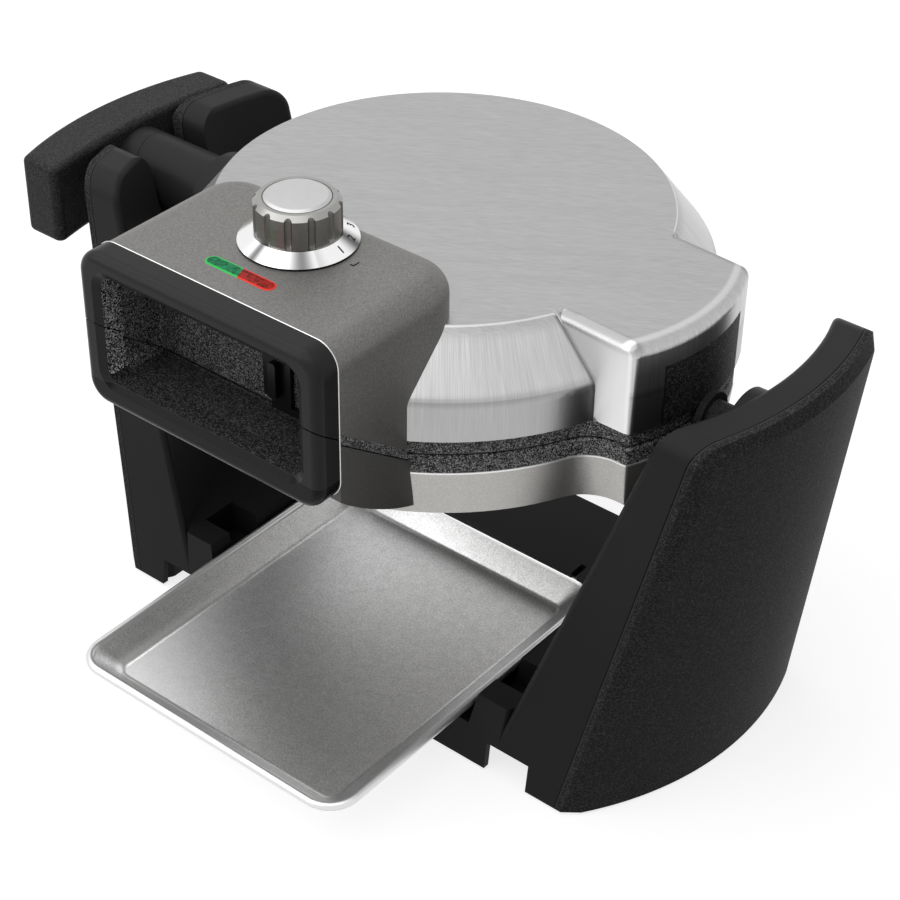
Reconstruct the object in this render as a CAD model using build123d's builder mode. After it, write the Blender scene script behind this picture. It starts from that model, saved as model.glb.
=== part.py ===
from build123d import *
import math
import os

os.makedirs("parts", exist_ok=True)

# Flip waffle maker. Millimetres, +Z up, origin on the table under the middle of the
# cooking head, handle towards -Y. The head turns about a left-right axis held by two
# towers, and opens on a hinge at its back.

# Head
head_r = 112.0              # cooking head, at the textured frames
seam_z = 167.0              # plane where the two halves meet
axis_z = seam_z + 2.0       # height of the turning axis
band_gap = 0.3              # half of the gap between the two frames
frame_h = 7.6               # height of each textured frame
frame_ring = 8.0            # width of the frames round the cast plates
frame_bevel = 1.0
boss_half = 37.5            # pivot boss on the right, half its width
boss_face_x = head_r + 19.0     # its outermost point
boss_face_r = 85.0          # crown of its face
boss_corner_r = 2.0
boss_inner_r = 0.8          # least rounding of the corners inside it
boss_blend_r = 18.0         # hollow curve from the disc into the boss
plate_r = head_r - frame_ring
plate_fit = 0.3             # gap round each plate

housing_out = 0.4           # lower housing stands proud of the frame
housing_h = 21.0
housing_draft = 2.5         # how far the housing draws in towards its bottom
housing_wall = 2.5
belly_r = head_r - 20.0     # flat underside
belly_h = 12.5              # depth of the cone below the housing wall

lid_out = 2.0               # the steel lid stands proud of the frame
lid_wall_h = 17.0           # upright wall of the lid
lid_h = 40.9
lid_top_r = head_r - 17.0
lid_sheet = 1.2
lid_rim_r = 2.6             # rounding between cone and flat top
lid_bend_r = 7.0            # rounding between wall and cone
lid_boss_drop = 1.8         # the boss falls away from the lid's flat top
lid_boss_edge_r = 5.0
side_block_half = 25.7      # textured block let into the boss face
side_block_h = 27.1
side_block_depth = 8.0

# Waffle plates
plate_rim_w = 15.0          # flat rim outside the grid, which leaves a seven inch waffle
grid_r = plate_r - plate_rim_w
plate_rim_h = 4.0
gutter_w = 3.0              # upright bead round the waffle and the gutter outside it
gutter_drop = 2.0
well_depth = 13.0           # bottom of the waffle below the seam
well_draft = 3.0
plate_floor = 3.0           # metal under the waffle
stud_pitch = 20.0
stud_first = 12.5           # first stud from each dividing rib
stud_base = 13.5
stud_top = 10.0
stud_h = 10.0
stud_clear = 8.1            # from a stud to the edge of the well
divider_w = 3.0
divider_h = 12.4
divider_in = 1.0            # the ribs end this far inside the grid
heater_r = grid_r - 27.0
heater_tube_r = 3.5
heater_arc = 320.0          # degrees of the ring that the tube runs

# Hinge at the back of the head
hinge_y = head_r + 8.0
hinge_z = seam_z + 1.5
hinge_pin_r = 3.0
hinge_pin_over = 1.0
hinge_lug_r = 6.0
hinge_running = 0.05
lid_lug_in = 14.0
lug_w = 9.0
lug_gap = 0.5
hinge_plate_h = 13.0
hinge_plate_t = 4.0
hinge_plate_l = 30.0        # how far the plates run in under the head's rim
hinge_step = 1.0            # from the frame down to the lower plate
hinge_rise = 2.0            # from the frame up to the upper plate

# Front handle
handle_half = 61.0
handle_front_y = -head_r - 22.3
handle_back_y = -head_r + 52.0
handle_top_z = seam_z + 69.0
handle_wall = 3.0
handle_side_r = 11.0        # rounding along the top edges
handle_back_r = 18.0        # rounding of the back corners, in plan
lid_gap = 0.6               # air between the lid and what stands on the lower half
split_front_z = seam_z + 29.5   # parting line of the handle, at its front
split_back_z = seam_z + 4.5     # and where it meets the head
split_back_y = -head_r + 11.6
strip_half = 2.2            # half height of the black strip between the halves
lower_front_z = seam_z + 0.6
lower_knee_y = -head_r
lower_knee_z = seam_z - 15.5
lower_back_y = -head_r + 24.0
lower_back_z = seam_z - 26.5
lower_front_dir = (0.75, -0.66)     # the underside leaves the bezel in this direction
lower_back_dir = (0.95, -0.3)       # and reaches the housing in this one
lower_edge_r = 5.0
bezel_t = 11.6
bezel_corner_r = 10.0
bezel_edge_r = 4.0
bezel_lip_w = 3.0           # slope round the finger opening
bezel_lip_t = 2.0
grasp_half = 50.5           # finger opening
grasp_low = seam_z + 12.0
grasp_high = seam_z + 60.0
grasp_corner_r = 6.0
grasp_back_y = -head_r - 4.0
liner_roof = 2.0

# Dial and lamps
dial_y = -head_r + 24.5
dial_gap = 0.3
skirt_r = 23.5
skirt_top_r = 17.6
skirt_h = 4.6
skirt_edge = 0.6
knob_r = 17.0
knob_h = 14.0
knob_bevel = 2.0
flute_count = 12
flute_r = 1.6
flute_out = 0.4             # the flutes' centres lie just outside the knob
cap_r = 13.0
cap_h = 1.6
cap_edge = 1.2
cap_edge_h = 0.8
cap_crown = 1.2
spindle_r = 3.0
spindle_running = 0.06
spindle_hole = 1.0          # room round the spindle in the handle's roof
spindle_lift = 1.0          # its end above the lid
thermostat_r = 13.0
thermostat_h = 9.0
thermostat_shift = 2.0
lens_y = -head_r - 7.5
lens_length = 34.0
lens_w = 6.4
lens_t = 3.4
lens_proud = 0.3
lens_slant = 19.0           # degrees by which the line between the colours slants
board_half = 35.0
board_edge = 2.0            # room in front of the board and behind it
board_t = 1.6
led_r = 2.5

# Lock slide inside the finger opening
lock_x = 8.0
lock_w = 14.0
lock_z = seam_z + 18.0
lock_h = 20.0
lock_t = 2.0
lock_corner_r = 1.5
lock_nub_w = 4.0
lock_nub_h = 16.0
lock_nub_t = 3.0
lock_nub_corner_r = 1.2
lock_back_t = 1.2
lock_back_h = 8.0
lock_stem_w = 6.0
lock_stem_h = 3.0
lock_stem_drop = 4.5        # the stem lies this far below the top of the slide
lock_sink = 0.5             # the stem and the neck run this far into the slide
lock_travel = 8.0
lock_clear = 0.1            # play of the slide in its slot
neck_w = 10.0               # the neck joins slide and tongue
neck_up = 2.0               # and rises this far into the slide
tongue_l = 12.0             # reach of the tongue past the slide
tongue_w = 3.2
tongue_t = 2.0
tongue_z = seam_z + 13.6
eye_x = 36.0
eye_w = 5.0
eye_clear = 0.5
eye_wall = 1.5
eye_top_z = seam_z + 19.0

# Pivots and rotating grip
axle_r = 7.0
axle_running = 0.05
axle_bore_r = 3.5
axle_plate_t = 3.0          # upright plate in front of the boss that carries the axle
axle_plate_r = 10.0
axle_foot_w = 24.0
axle_foot_h = 18.0
axle_foot_reach = 6.0
axle_end_gap = 1.0
bush_wall = 3.0
bush_housing_r = 17.5
bush_housing_x = head_r + 38.0
bush_l = 15.0
shaft_r = 17.0
shaft_bore_r = 12.0
shaft_running = 0.05
collar_r = 22.0
collar_l = 12.0
collar_gap = 1.5            # air between the shaft's collar and the lid
saddle_w = 36.0
saddle_h = 14.0
saddle_reach = 14.0
saddle_drop = 1.0           # saddle and axle foot lie this far below the frame
cradle_wall = 2.5
cradle_in_x = head_r + 41.0
cradle_l = 20.0
cradle_top_z = axis_z + 4.0
cradle_lip_r = 10.0         # rounding of the towers beside the open slot
grip_socket = 6.0
grip_corner_r = 4.0
grip_half = 57.0
grip_h = 38.0
grip_mid_z = axis_z + 2.0
grip_in_end = head_r + 62.5
grip_in_mid = head_r + 69.0
grip_out_end = head_r + 84.0
grip_out_mid = head_r + 94.0
grip_edge_r = 3.0

# Stand
foot_h = 1.5                # rubber feet below the mouldings
stand_front_y = -head_r + 38.0      # on the table
stand_lean = 0.12           # the front leans back as it rises
stand_back_y = head_r - 44.0
shelf_z = 37.0
tower_top_z = seam_z + 25.0
bow_y = 15.0                # the towers bow outwards, widest here
inner_bow_r = head_r + 23.0
inner_mid_low = head_r + 10.5
inner_mid_top = head_r + 48.0
inner_edge_r = 2.5          # rounding of the towers' inner front edges
joint_front_low = head_r + 9.8      # joint between tower frame and cover, on the table
joint_front_rise = 0.1963   # and how far it moves out per mm of height
joint_mid_low = head_r + 40.3
joint_back_low = head_r + 30.5
joint_rise = 0.1077
cover_t = 6.5
cover_bevel = 6.5
cover_bevel_depth = 2.8
tower_wall = 3.0
tower_corner_r = 11.0
shelf_wall = 3.0
bay_top_half = head_r - 34.0        # tray bay
bay_low_half = head_r - 37.5
bay_floor_z = 17.0
bridge_y = stand_back_y - 48.0
bridge_t = 3.0
bridge_in = 1.0             # the bridge runs this far into the walls round it
bridge_notch_x = bay_low_half - 13.0
bridge_notch_w = 3.0
bridge_notch_l = 8.0
rail_x = bay_low_half - 26.5
rail_w = 4.0
rail_clear = 0.1            # play of the tray above its rails
pocket_x = bay_low_half + 18.5
pocket_y = stand_front_y + 16.5
pocket_l = 17.5
pocket_floor_z = 21.0
notch_in = head_r - 27.0
notch_out = head_r - 5.0
notch_h = 13.5
notch_l = 14.0
foot_r = 8.0
foot_boss_h = 10.0
foot_seat = 2.0             # how deep each foot is let in
foot_seat_wall = 2.0
foot_edge_r = 0.8
foot_front_x = head_r + 4.5
foot_front_y = stand_front_y + 11.0
foot_rear_x = head_r + 16.0
foot_rear_y = stand_back_y - 12.0
screw_r = 1.6
screw_l = 8.5
screw_head_r = 3.2
screw_head_h = 1.6
screw_head_z = 0.9
gland_r = 6.5
gland_bore_r = 3.5
gland_x = head_r + 18.0
gland_z = 22.0
gland_lip = 1.6
gland_l = 9.0
gland_taper = 8.0

# Drip tray
tray_front_y = stand_front_y - 84.5
tray_length = 184.5
tray_half = bay_low_half + 0.9
tray_bottom_z = 20.3
tray_h = 12.0
tray_sheet = 1.2
tray_slope = 11.0
tray_rim_corner_r = 12.8
tray_low_corner_r = 6.2
tray_low_edge_r = 3.0       # rounding between the floor and the sloping sides
tray_bead_r = 2.0

over = 80.0                 # reach of the large cutting blocks
past = 1.0                  # a cut ends this far outside the face that it opens
frame_low_z = seam_z - band_gap - frame_h
frame_high_z = seam_z + band_gap + frame_h
lid_low_z = frame_high_z
lid_top_z = lid_low_z + lid_h
housing_low_z = frame_low_z - housing_h
pocket_mid_x = (bay_low_half + pocket_x) / 2
pocket_mid_y = pocket_y + pocket_l / 2
notch_mid_x = (notch_in + notch_out) / 2


def boss_plan(out):
    """Plan of the squared pivot boss on the right, moved outwards by out."""
    half = boss_half + out
    face_x = boss_face_x + out
    face_back = face_x - boss_face_r + math.sqrt(boss_face_r**2 - half**2)
    with BuildSketch() as plan:
        with BuildLine():
            Line((0, -half), (face_back, -half))
            ThreePointArc((face_back, -half), (face_x, 0), (face_back, half))
            Line((face_back, half), (0, half))
            Line((0, half), (0, -half))
        make_face()
        fillet(plan.vertices().sort_by(Axis.X)[-2:], max(boss_corner_r + out, boss_inner_r))
    return plan.sketch


def frame_plan(out):
    """Plan of the head, moved outwards by out: a disc that flows into the boss."""
    half = boss_half + out
    with BuildSketch() as plan:
        add(boss_plan(out))
        Circle(head_r + out)
        sides = plan.vertices().filter_by(lambda v: abs(abs(v.Y) - half) < 1e-3)
        fillet(sides.sort_by(Axis.X)[:2], boss_blend_r - out)
    return plan.sketch


def trim_line(y, across=0.0):
    """Height of the handle's inclined parting line at y, moved up by across."""
    rise = (split_front_z - split_back_z) / (handle_front_y - split_back_y)
    return split_back_z + (y - split_back_y) * rise + across


# Lower half of the cooking head

# Outside of the lower casing, used again to seat what is fixed to it
with BuildPart() as housing_outer:
    with BuildSketch(Plane.XY.offset(frame_low_z)):
        add(frame_plan(housing_out))
    with BuildSketch(Plane.XY.offset(housing_low_z)):
        add(frame_plan(housing_out - housing_draft))
    loft(ruled=True)
    with BuildSketch(Plane.XY.offset(housing_low_z)):
        Circle(head_r + housing_out - housing_draft)
    with BuildSketch(Plane.XY.offset(housing_low_z - belly_h)):
        Circle(belly_r)
    loft(ruled=True)

with BuildPart() as lower_housing:
    add(housing_outer.part)
    with BuildSketch(Plane.XY.offset(frame_low_z)):
        add(frame_plan(housing_out - housing_wall))
    with BuildSketch(Plane.XY.offset(housing_low_z)):
        add(frame_plan(housing_out - housing_draft - housing_wall))
    loft(ruled=True, mode=Mode.SUBTRACT)
    with BuildSketch(Plane.XY.offset(housing_low_z)):
        Circle(head_r + housing_out - housing_draft - housing_wall)
    with BuildSketch(Plane.XY.offset(housing_low_z - belly_h + housing_wall)):
        Circle(belly_r - housing_wall / 2)
    loft(ruled=True, mode=Mode.SUBTRACT)
lower_housing.part.label = "lower_housing"
export_step(lower_housing.part, "parts/lower_housing.step")

with BuildPart() as lower_frame:
    with BuildSketch(Plane.XY.offset(frame_low_z)):
        add(frame_plan(0))
        Circle(plate_r + plate_fit, mode=Mode.SUBTRACT)
    extrude(amount=frame_h)
    chamfer(lower_frame.faces().sort_by(Axis.Z)[-1].outer_wire().edges(), frame_bevel)
lower_frame.part.label = "lower_frame"
export_step(lower_frame.part, "parts/lower_frame.step")


def waffle_plate(facing_up):
    """A round cast plate with studs in four quarters, its face at z = 0."""
    spots = [stud_first + stud_pitch * n for n in range(int((grid_r - stud_first) / stud_pitch) + 1)]
    corners = [(x, y) for x in spots for y in spots if math.hypot(x, y) < grid_r - stud_clear]
    quarters = [(sx * x, sy * y) for x, y in corners for sx in (-1, 1) for sy in (-1, 1)]
    with BuildPart() as plate:
        with BuildSketch(Plane.XZ):
            with BuildLine():
                Polyline(
                    (0, -well_depth - plate_floor),
                    (grid_r + plate_floor, -well_depth - plate_floor),
                    (grid_r + 2 * plate_floor, -plate_rim_h),
                    (plate_r, -plate_rim_h),
                    (plate_r, 0),
                    (plate_r - plate_rim_h, 0),
                    (plate_r - plate_rim_h - gutter_drop, -gutter_drop),
                    (grid_r + gutter_w + gutter_drop, -gutter_drop),
                    (grid_r + gutter_w, 0),
                    (grid_r, 0),
                    (grid_r - well_draft, -well_depth),
                    (0, -well_depth),
                    close=True,
                )
            make_face()
        revolve(axis=Axis.Z)
        with BuildSketch(Plane.XY.offset(-well_depth)):
            with Locations(*quarters):
                Rectangle(stud_base, stud_base)
        extrude(amount=stud_h, taper=math.degrees(math.atan((stud_base - stud_top) / 2 / stud_h)))
        with BuildSketch(Plane.XY.offset(-well_depth)):
            Rectangle(2 * (grid_r - divider_in), divider_w)
            Rectangle(divider_w, 2 * (grid_r - divider_in))
        extrude(amount=divider_h)
    return plate.part if facing_up else plate.part.mirror(Plane.XY)


with BuildPart() as lower_plate:
    add(waffle_plate(True).moved(Location((0, 0, seam_z - band_gap))))
lower_plate.part.label = "lower_plate"
export_step(lower_plate.part, "parts/lower_plate.step")

heater_drop = band_gap + well_depth + plate_floor + heater_tube_r
with BuildPart() as lower_heater:
    with BuildSketch(Plane.XZ):
        with Locations((heater_r, seam_z - heater_drop)):
            Circle(heater_tube_r)
    revolve(axis=Axis.Z, revolution_arc=heater_arc)
lower_heater.part.label = "lower_heater"
export_step(lower_heater.part, "parts/lower_heater.step")

# Lid

cone_low_z = lid_low_z + lid_wall_h


def lid_solid(inset):
    """The lid's outer form, drawn in by inset: wall, cone, flat top and squared boss."""
    out = lid_out - inset
    top_z = lid_top_z - inset
    end_x = boss_face_x + out
    with BuildPart() as boss:
        with BuildSketch(Plane.XY.offset(lid_low_z)):
            add(boss_plan(out))
        extrude(amount=top_z - lid_low_z)
        with BuildSketch(Plane.XZ):
            with BuildLine():
                Polyline(
                    (lid_top_r, top_z),
                    (end_x, top_z - lid_boss_drop),
                    (end_x + over, top_z - lid_boss_drop),
                    (end_x + over, top_z + over),
                    (lid_top_r, top_z + over),
                    close=True,
                )
            make_face()
        extrude(amount=2 * over, both=True, mode=Mode.SUBTRACT)
        top_edges = boss.faces().filter_by(lambda f: f.normal_at().Z > 0.99).edges()
        outline = top_edges.filter_by(lambda e: abs(e.center().Y) > past or e.center().X > lid_top_r + past)
        fillet(outline, lid_boss_edge_r - inset)
    with BuildPart() as lid:
        with BuildSketch(Plane.XZ) as half_section:
            with BuildLine():
                Polyline(
                    (0, lid_low_z),
                    (head_r + out, lid_low_z),
                    (head_r + out, cone_low_z),
                    (lid_top_r, top_z),
                    (0, top_z),
                    close=True,
                )
            make_face()
            outer_corners = half_section.vertices().group_by(Axis.X)
            fillet(outer_corners[-1].sort_by(Axis.Y)[-1], lid_bend_r - inset)
            fillet(outer_corners[-2], lid_rim_r - inset)
        revolve(axis=Axis.Z)
        add(boss.part)
    return lid.part


with BuildPart() as upper_frame:
    with BuildSketch(Plane.XY.offset(seam_z + band_gap)):
        add(frame_plan(0))
        Circle(plate_r + plate_fit, mode=Mode.SUBTRACT)
    extrude(amount=frame_h)
    chamfer(upper_frame.faces().sort_by(Axis.Z)[0].outer_wire().edges(), frame_bevel)
upper_frame.part.label = "upper_frame"
export_step(upper_frame.part, "parts/upper_frame.step")

# Textured block that closes a window in the boss face of the lid
with BuildPart() as side_block:
    with BuildSketch(Plane.XY.offset(lid_low_z)):
        add(boss_plan(lid_out))
        with Locations((boss_face_x + lid_out - side_block_depth - over, 0)):
            Rectangle(2 * over, 2 * over, mode=Mode.SUBTRACT)
        with Locations((boss_face_x, 0)):
            Rectangle(over, 2 * side_block_half, mode=Mode.INTERSECT)
    extrude(amount=side_block_h)
side_block.part.label = "side_block"
export_step(side_block.part, "parts/side_block.step")

with BuildPart() as lid_cover:
    add(lid_solid(0))
    add(lid_solid(lid_sheet), mode=Mode.SUBTRACT)
    with BuildSketch(Plane.XY.offset(lid_low_z)):
        with Locations((boss_face_x, 0)):
            Rectangle(over / 2, 2 * side_block_half)
    extrude(amount=side_block_h, mode=Mode.SUBTRACT)
lid_cover.part.label = "lid_cover"
export_step(lid_cover.part, "parts/lid_cover.step")

with BuildPart() as upper_plate:
    add(waffle_plate(False).moved(Location((0, 0, seam_z + band_gap))))
upper_plate.part.label = "upper_plate"
export_step(upper_plate.part, "parts/upper_plate.step")

with BuildPart() as upper_heater:
    with BuildSketch(Plane.XZ):
        with Locations((heater_r, seam_z + heater_drop)):
            Circle(heater_tube_r)
    revolve(axis=Axis.Z, revolution_arc=heater_arc)
upper_heater.part.label = "upper_heater"
export_step(upper_heater.part, "parts/upper_heater.step")

# Hinge: two lugs on the housing outside two lugs on the lid, on one pin


hinge_face_y = head_r + lid_out + hinge_plate_t
hinge_root_y = hinge_face_y - hinge_plate_l


def hinge_lug(x_in, plate_low, hole_r):
    """One lug, from its plate on the head out to the pin."""
    with BuildPart() as lug:
        with BuildSketch(Plane.YZ.offset(x_in)):
            with BuildLine():
                Polyline(
                    (hinge_root_y, plate_low),
                    (hinge_face_y, plate_low),
                    (hinge_y + hinge_lug_r, hinge_z),
                    (hinge_face_y, plate_low + hinge_plate_h),
                    (hinge_root_y, plate_low + hinge_plate_h),
                    close=True,
                )
            make_face()
            with Locations((hinge_y, hinge_z)):
                Circle(hinge_lug_r)
        extrude(amount=lug_w)
        with BuildSketch(Plane.YZ.offset(x_in)):
            with Locations((hinge_y, hinge_z)):
                Circle(hole_r)
        extrude(amount=lug_w, mode=Mode.SUBTRACT)
    return lug.part


outer_lug_in = lid_lug_in + lug_w + lug_gap
hinge_half = outer_lug_in + lug_w
lower_plate_low = frame_low_z - hinge_step - hinge_plate_h
with BuildPart() as lower_hinge_bracket:
    with BuildSketch(Plane.XY.offset(lower_plate_low)):
        with Locations((0, (hinge_root_y + hinge_face_y) / 2)):
            Rectangle(2 * hinge_half, hinge_plate_l)
    extrude(amount=hinge_plate_h)
    add(hinge_lug(outer_lug_in, lower_plate_low, hinge_pin_r))
    mirror(hinge_lug(outer_lug_in, lower_plate_low, hinge_pin_r), about=Plane.YZ)
    add(housing_outer.part, mode=Mode.SUBTRACT)
    with BuildSketch(Plane.XY.offset(frame_low_z - hinge_step)):
        Circle(head_r + lid_out + lid_gap)
    extrude(amount=lid_top_z - frame_low_z, mode=Mode.SUBTRACT)
lower_hinge_bracket.part.label = "lower_hinge_bracket"
export_step(lower_hinge_bracket.part, "parts/lower_hinge_bracket.step")

upper_plate_low = lid_low_z + hinge_rise
with BuildPart() as upper_hinge_bracket:
    with BuildSketch(Plane.XY.offset(upper_plate_low)):
        with Locations((0, (hinge_root_y + hinge_face_y) / 2)):
            Rectangle(2 * (lid_lug_in + lug_w), hinge_plate_l)
    extrude(amount=hinge_plate_h)
    add(hinge_lug(lid_lug_in, upper_plate_low, hinge_pin_r + hinge_running))
    mirror(hinge_lug(lid_lug_in, upper_plate_low, hinge_pin_r + hinge_running), about=Plane.YZ)
    add(lid_solid(0), mode=Mode.SUBTRACT)
    with BuildSketch(Plane.XY.offset(housing_low_z)):
        Circle(head_r + lid_out)
    extrude(amount=lid_low_z - housing_low_z, mode=Mode.SUBTRACT)
upper_hinge_bracket.part.label = "upper_hinge_bracket"
export_step(upper_hinge_bracket.part, "parts/upper_hinge_bracket.step")

with BuildPart() as hinge_pin:
    with BuildSketch(Plane.YZ.offset(-hinge_half - hinge_pin_over)):
        with Locations((hinge_y, hinge_z)):
            Circle(hinge_pin_r)
    extrude(amount=2 * (hinge_half + hinge_pin_over))
hinge_pin.part.label = "hinge_pin"
export_step(hinge_pin.part, "parts/hinge_pin.step")

# Front handle, split along an inclined parting line

grasp_mid = (grasp_low + grasp_high) / 2
lock_slot_z = lock_z + lock_h - lock_stem_drop
lock_slot_x = lock_x + (lock_w + lock_travel) / 2
tongue_y = grasp_back_y - lock_clear - tongue_t


def handle_band(low, high, front, back):
    """A slab as wide as the handle between two heights off its parting line."""
    with BuildPart() as slab:
        with BuildSketch(Plane.YZ):
            with BuildLine():
                Polyline(
                    (front, trim_line(front, low)),
                    (back, trim_line(back, low)),
                    (back, trim_line(back, high)),
                    (front, trim_line(front, high)),
                    close=True,
                )
            make_face()
        extrude(amount=handle_half, both=True)
    return slab.part


bezel_front_y = handle_front_y - bezel_t
cut_front_y = bezel_front_y - past
cut_back_y = handle_back_y + past

# The finger opening, cut through bezel and liners alike
with BuildPart() as grasp:
    with BuildSketch(Plane.XZ.offset(-grasp_back_y)):
        with Locations((0, grasp_mid)):
            RectangleRounded(2 * grasp_half, grasp_high - grasp_low, grasp_corner_r)
    extrude(amount=over)


def handle_block(inset):
    """The handle's outer block, drawn in by inset at its sides, back and top."""
    half = handle_half - inset
    back_y = handle_back_y - inset
    with BuildPart() as block:
        with BuildSketch(Plane.XY.offset(housing_low_z)):
            with Locations((0, (handle_front_y + back_y) / 2)):
                Rectangle(2 * half, back_y - handle_front_y)
            fillet(vertices().sort_by(Axis.Y)[-2:], handle_back_r - inset)
        extrude(amount=handle_top_z - inset - housing_low_z)
        top_edges = block.faces().sort_by(Axis.Z)[-1].edges()
        fillet(top_edges.filter_by(lambda e: e.center().Y > handle_front_y + past), handle_side_r - inset)
    return block.part


def lid_envelope(gap):
    """All the room that the lid and its frame take up, from the handle downwards."""
    with BuildPart() as room:
        add(lid_solid(-gap))
        with BuildSketch(Plane.XY.offset(housing_low_z - belly_h)):
            Circle(head_r + lid_out + gap)
        extrude(amount=lid_low_z - housing_low_z + belly_h)
    return room.part


with BuildPart() as upper_handle_shell:
    add(handle_block(0))
    add(handle_block(handle_wall), mode=Mode.SUBTRACT)
    add(handle_band(-over, strip_half, cut_front_y, cut_back_y), mode=Mode.SUBTRACT)
    add(lid_envelope(0), mode=Mode.SUBTRACT)
    with BuildSketch(Plane.XY.offset(handle_top_z - handle_wall)):
        with Locations((0, lens_y)):
            SlotOverall(lens_length, lens_w)
        with Locations((0, dial_y)):
            Circle(spindle_r + spindle_hole)
    extrude(amount=handle_wall, mode=Mode.SUBTRACT)
upper_handle_shell.part.label = "upper_handle_shell"
export_step(upper_handle_shell.part, "parts/upper_handle_shell.step")

strip_low = strip_half + 2 * band_gap
liner_floor_z = lower_front_z + handle_wall

# Underside profile of the handle's lower half
with BuildPart() as lower_handle_block:
    with BuildSketch(Plane.YZ):
        with BuildLine():
            Line((handle_front_y, trim_line(handle_front_y, -strip_low)), (handle_front_y, lower_front_z))
            Spline(
                (handle_front_y, lower_front_z),
                (lower_knee_y, lower_knee_z),
                (lower_back_y, lower_back_z),
                tangents=(lower_front_dir, lower_back_dir),
            )
            Line((lower_back_y, lower_back_z), (lower_back_y, trim_line(lower_back_y, -strip_low)))
            Line(
                (lower_back_y, trim_line(lower_back_y, -strip_low)),
                (handle_front_y, trim_line(handle_front_y, -strip_low)),
            )
        make_face()
    extrude(amount=handle_half, both=True)

with BuildPart() as lower_handle_shell:
    add(lower_handle_block.part)
    long_edges = lower_handle_shell.edges().filter_by(lambda e: abs(abs(e.center().X) - handle_half) < 0.1)
    fillet(long_edges.sort_by(Axis.Z)[:2], lower_edge_r)
    add(housing_outer.part, mode=Mode.SUBTRACT)
    with BuildSketch(Plane.XY.offset(frame_low_z)):
        Circle(head_r + housing_out)
    extrude(amount=lid_top_z - frame_low_z, mode=Mode.SUBTRACT)
    with BuildSketch(Plane.YZ):
        with BuildLine():
            Line((handle_front_y, trim_line(handle_front_y, past)), (handle_front_y, liner_floor_z))
            Spline(
                (handle_front_y, liner_floor_z),
                (lower_knee_y, lower_knee_z + handle_wall),
                (lower_back_y, lower_back_z + handle_wall),
                tangents=(lower_front_dir, lower_back_dir),
            )
            Line((lower_back_y, lower_back_z + handle_wall), (lower_back_y, trim_line(lower_back_y, past)))
            Line(
                (lower_back_y, trim_line(lower_back_y, past)),
                (handle_front_y, trim_line(handle_front_y, past)),
            )
        make_face()
    extrude(amount=handle_half - handle_wall, both=True, mode=Mode.SUBTRACT)
lower_handle_shell.part.label = "lower_handle_shell"
export_step(lower_handle_shell.part, "parts/lower_handle_shell.step")

# Textured liners that close the two halves behind the finger opening
liner_back_y = grasp_back_y + handle_wall
liner_half = handle_half - handle_wall
liner_top_z = grasp_high + liner_roof
with BuildPart() as upper_handle_liner:
    add(handle_block(handle_wall))
    with BuildSketch(Plane.XY.offset(lower_back_z - over)):
        with Locations((0, liner_back_y + over / 2)):
            Rectangle(4 * handle_half, over)
    extrude(amount=handle_top_z, mode=Mode.SUBTRACT)
    with BuildSketch(Plane.XY.offset(liner_top_z)):
        with Locations((0, handle_front_y)):
            Rectangle(4 * handle_half, over)
    extrude(amount=over, mode=Mode.SUBTRACT)
    add(handle_band(-strip_half, strip_half, handle_front_y, handle_back_y - handle_back_r))
    with BuildSketch(Plane.XY.offset(split_back_z - over)):
        with Locations((0, liner_back_y + over / 2)):
            Rectangle(2 * liner_half, over)
    extrude(amount=2 * over, mode=Mode.SUBTRACT)
    add(handle_band(-over, -strip_half, cut_front_y, cut_back_y), mode=Mode.SUBTRACT)
    add(lid_envelope(0), mode=Mode.SUBTRACT)
    add(grasp.part, mode=Mode.SUBTRACT)
    with BuildSketch(Plane.XZ.offset(-liner_back_y)):
        with Locations((lock_slot_x, lock_slot_z)):
            Rectangle(lock_stem_w + lock_travel + 2 * lock_clear, lock_stem_h + 2 * lock_clear)
    extrude(amount=handle_wall, mode=Mode.SUBTRACT)
upper_handle_liner.part.label = "upper_handle_liner"
export_step(upper_handle_liner.part, "parts/upper_handle_liner.step")

liner_front_top = trim_line(handle_front_y, -strip_low)
liner_back_top = trim_line(liner_back_y, -strip_low)
with BuildPart() as lower_handle_liner:
    with BuildSketch(Plane.YZ):
        with BuildLine():
            Polyline(
                (handle_front_y, liner_front_top),
                (handle_front_y, liner_floor_z),
                (liner_back_y, liner_floor_z),
                (liner_back_y, liner_back_top),
                close=True,
            )
        make_face()
    extrude(amount=liner_half, both=True)
    add(grasp.part, mode=Mode.SUBTRACT)
    with BuildSketch(Plane.XY.offset(liner_floor_z - past)):
        Circle(head_r + lid_out + lid_gap)
    extrude(amount=over, mode=Mode.SUBTRACT)
lower_handle_liner.part.label = "lower_handle_liner"
export_step(lower_handle_liner.part, "parts/lower_handle_liner.step")

# Keeper: a small clip on the floor of the opening, whose eye takes the lock's tongue
with BuildPart() as lock_keeper:
    with BuildSketch(Plane.YZ.offset(eye_x)):
        with BuildLine():
            Polyline(
                (tongue_y - eye_clear - eye_wall, grasp_low),
                (grasp_back_y - eye_clear, grasp_low),
                (grasp_back_y - eye_clear, tongue_z - eye_clear),
                (tongue_y - eye_clear, tongue_z - eye_clear),
                (tongue_y - eye_clear, tongue_z + tongue_w + eye_clear),
                (grasp_back_y - eye_clear, tongue_z + tongue_w + eye_clear),
                (grasp_back_y - eye_clear, eye_top_z),
                (tongue_y - eye_clear - eye_wall, eye_top_z),
                close=True,
            )
        make_face()
    extrude(amount=eye_w)
lock_keeper.part.label = "lock_keeper"
export_step(lock_keeper.part, "parts/lock_keeper.step")

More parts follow.
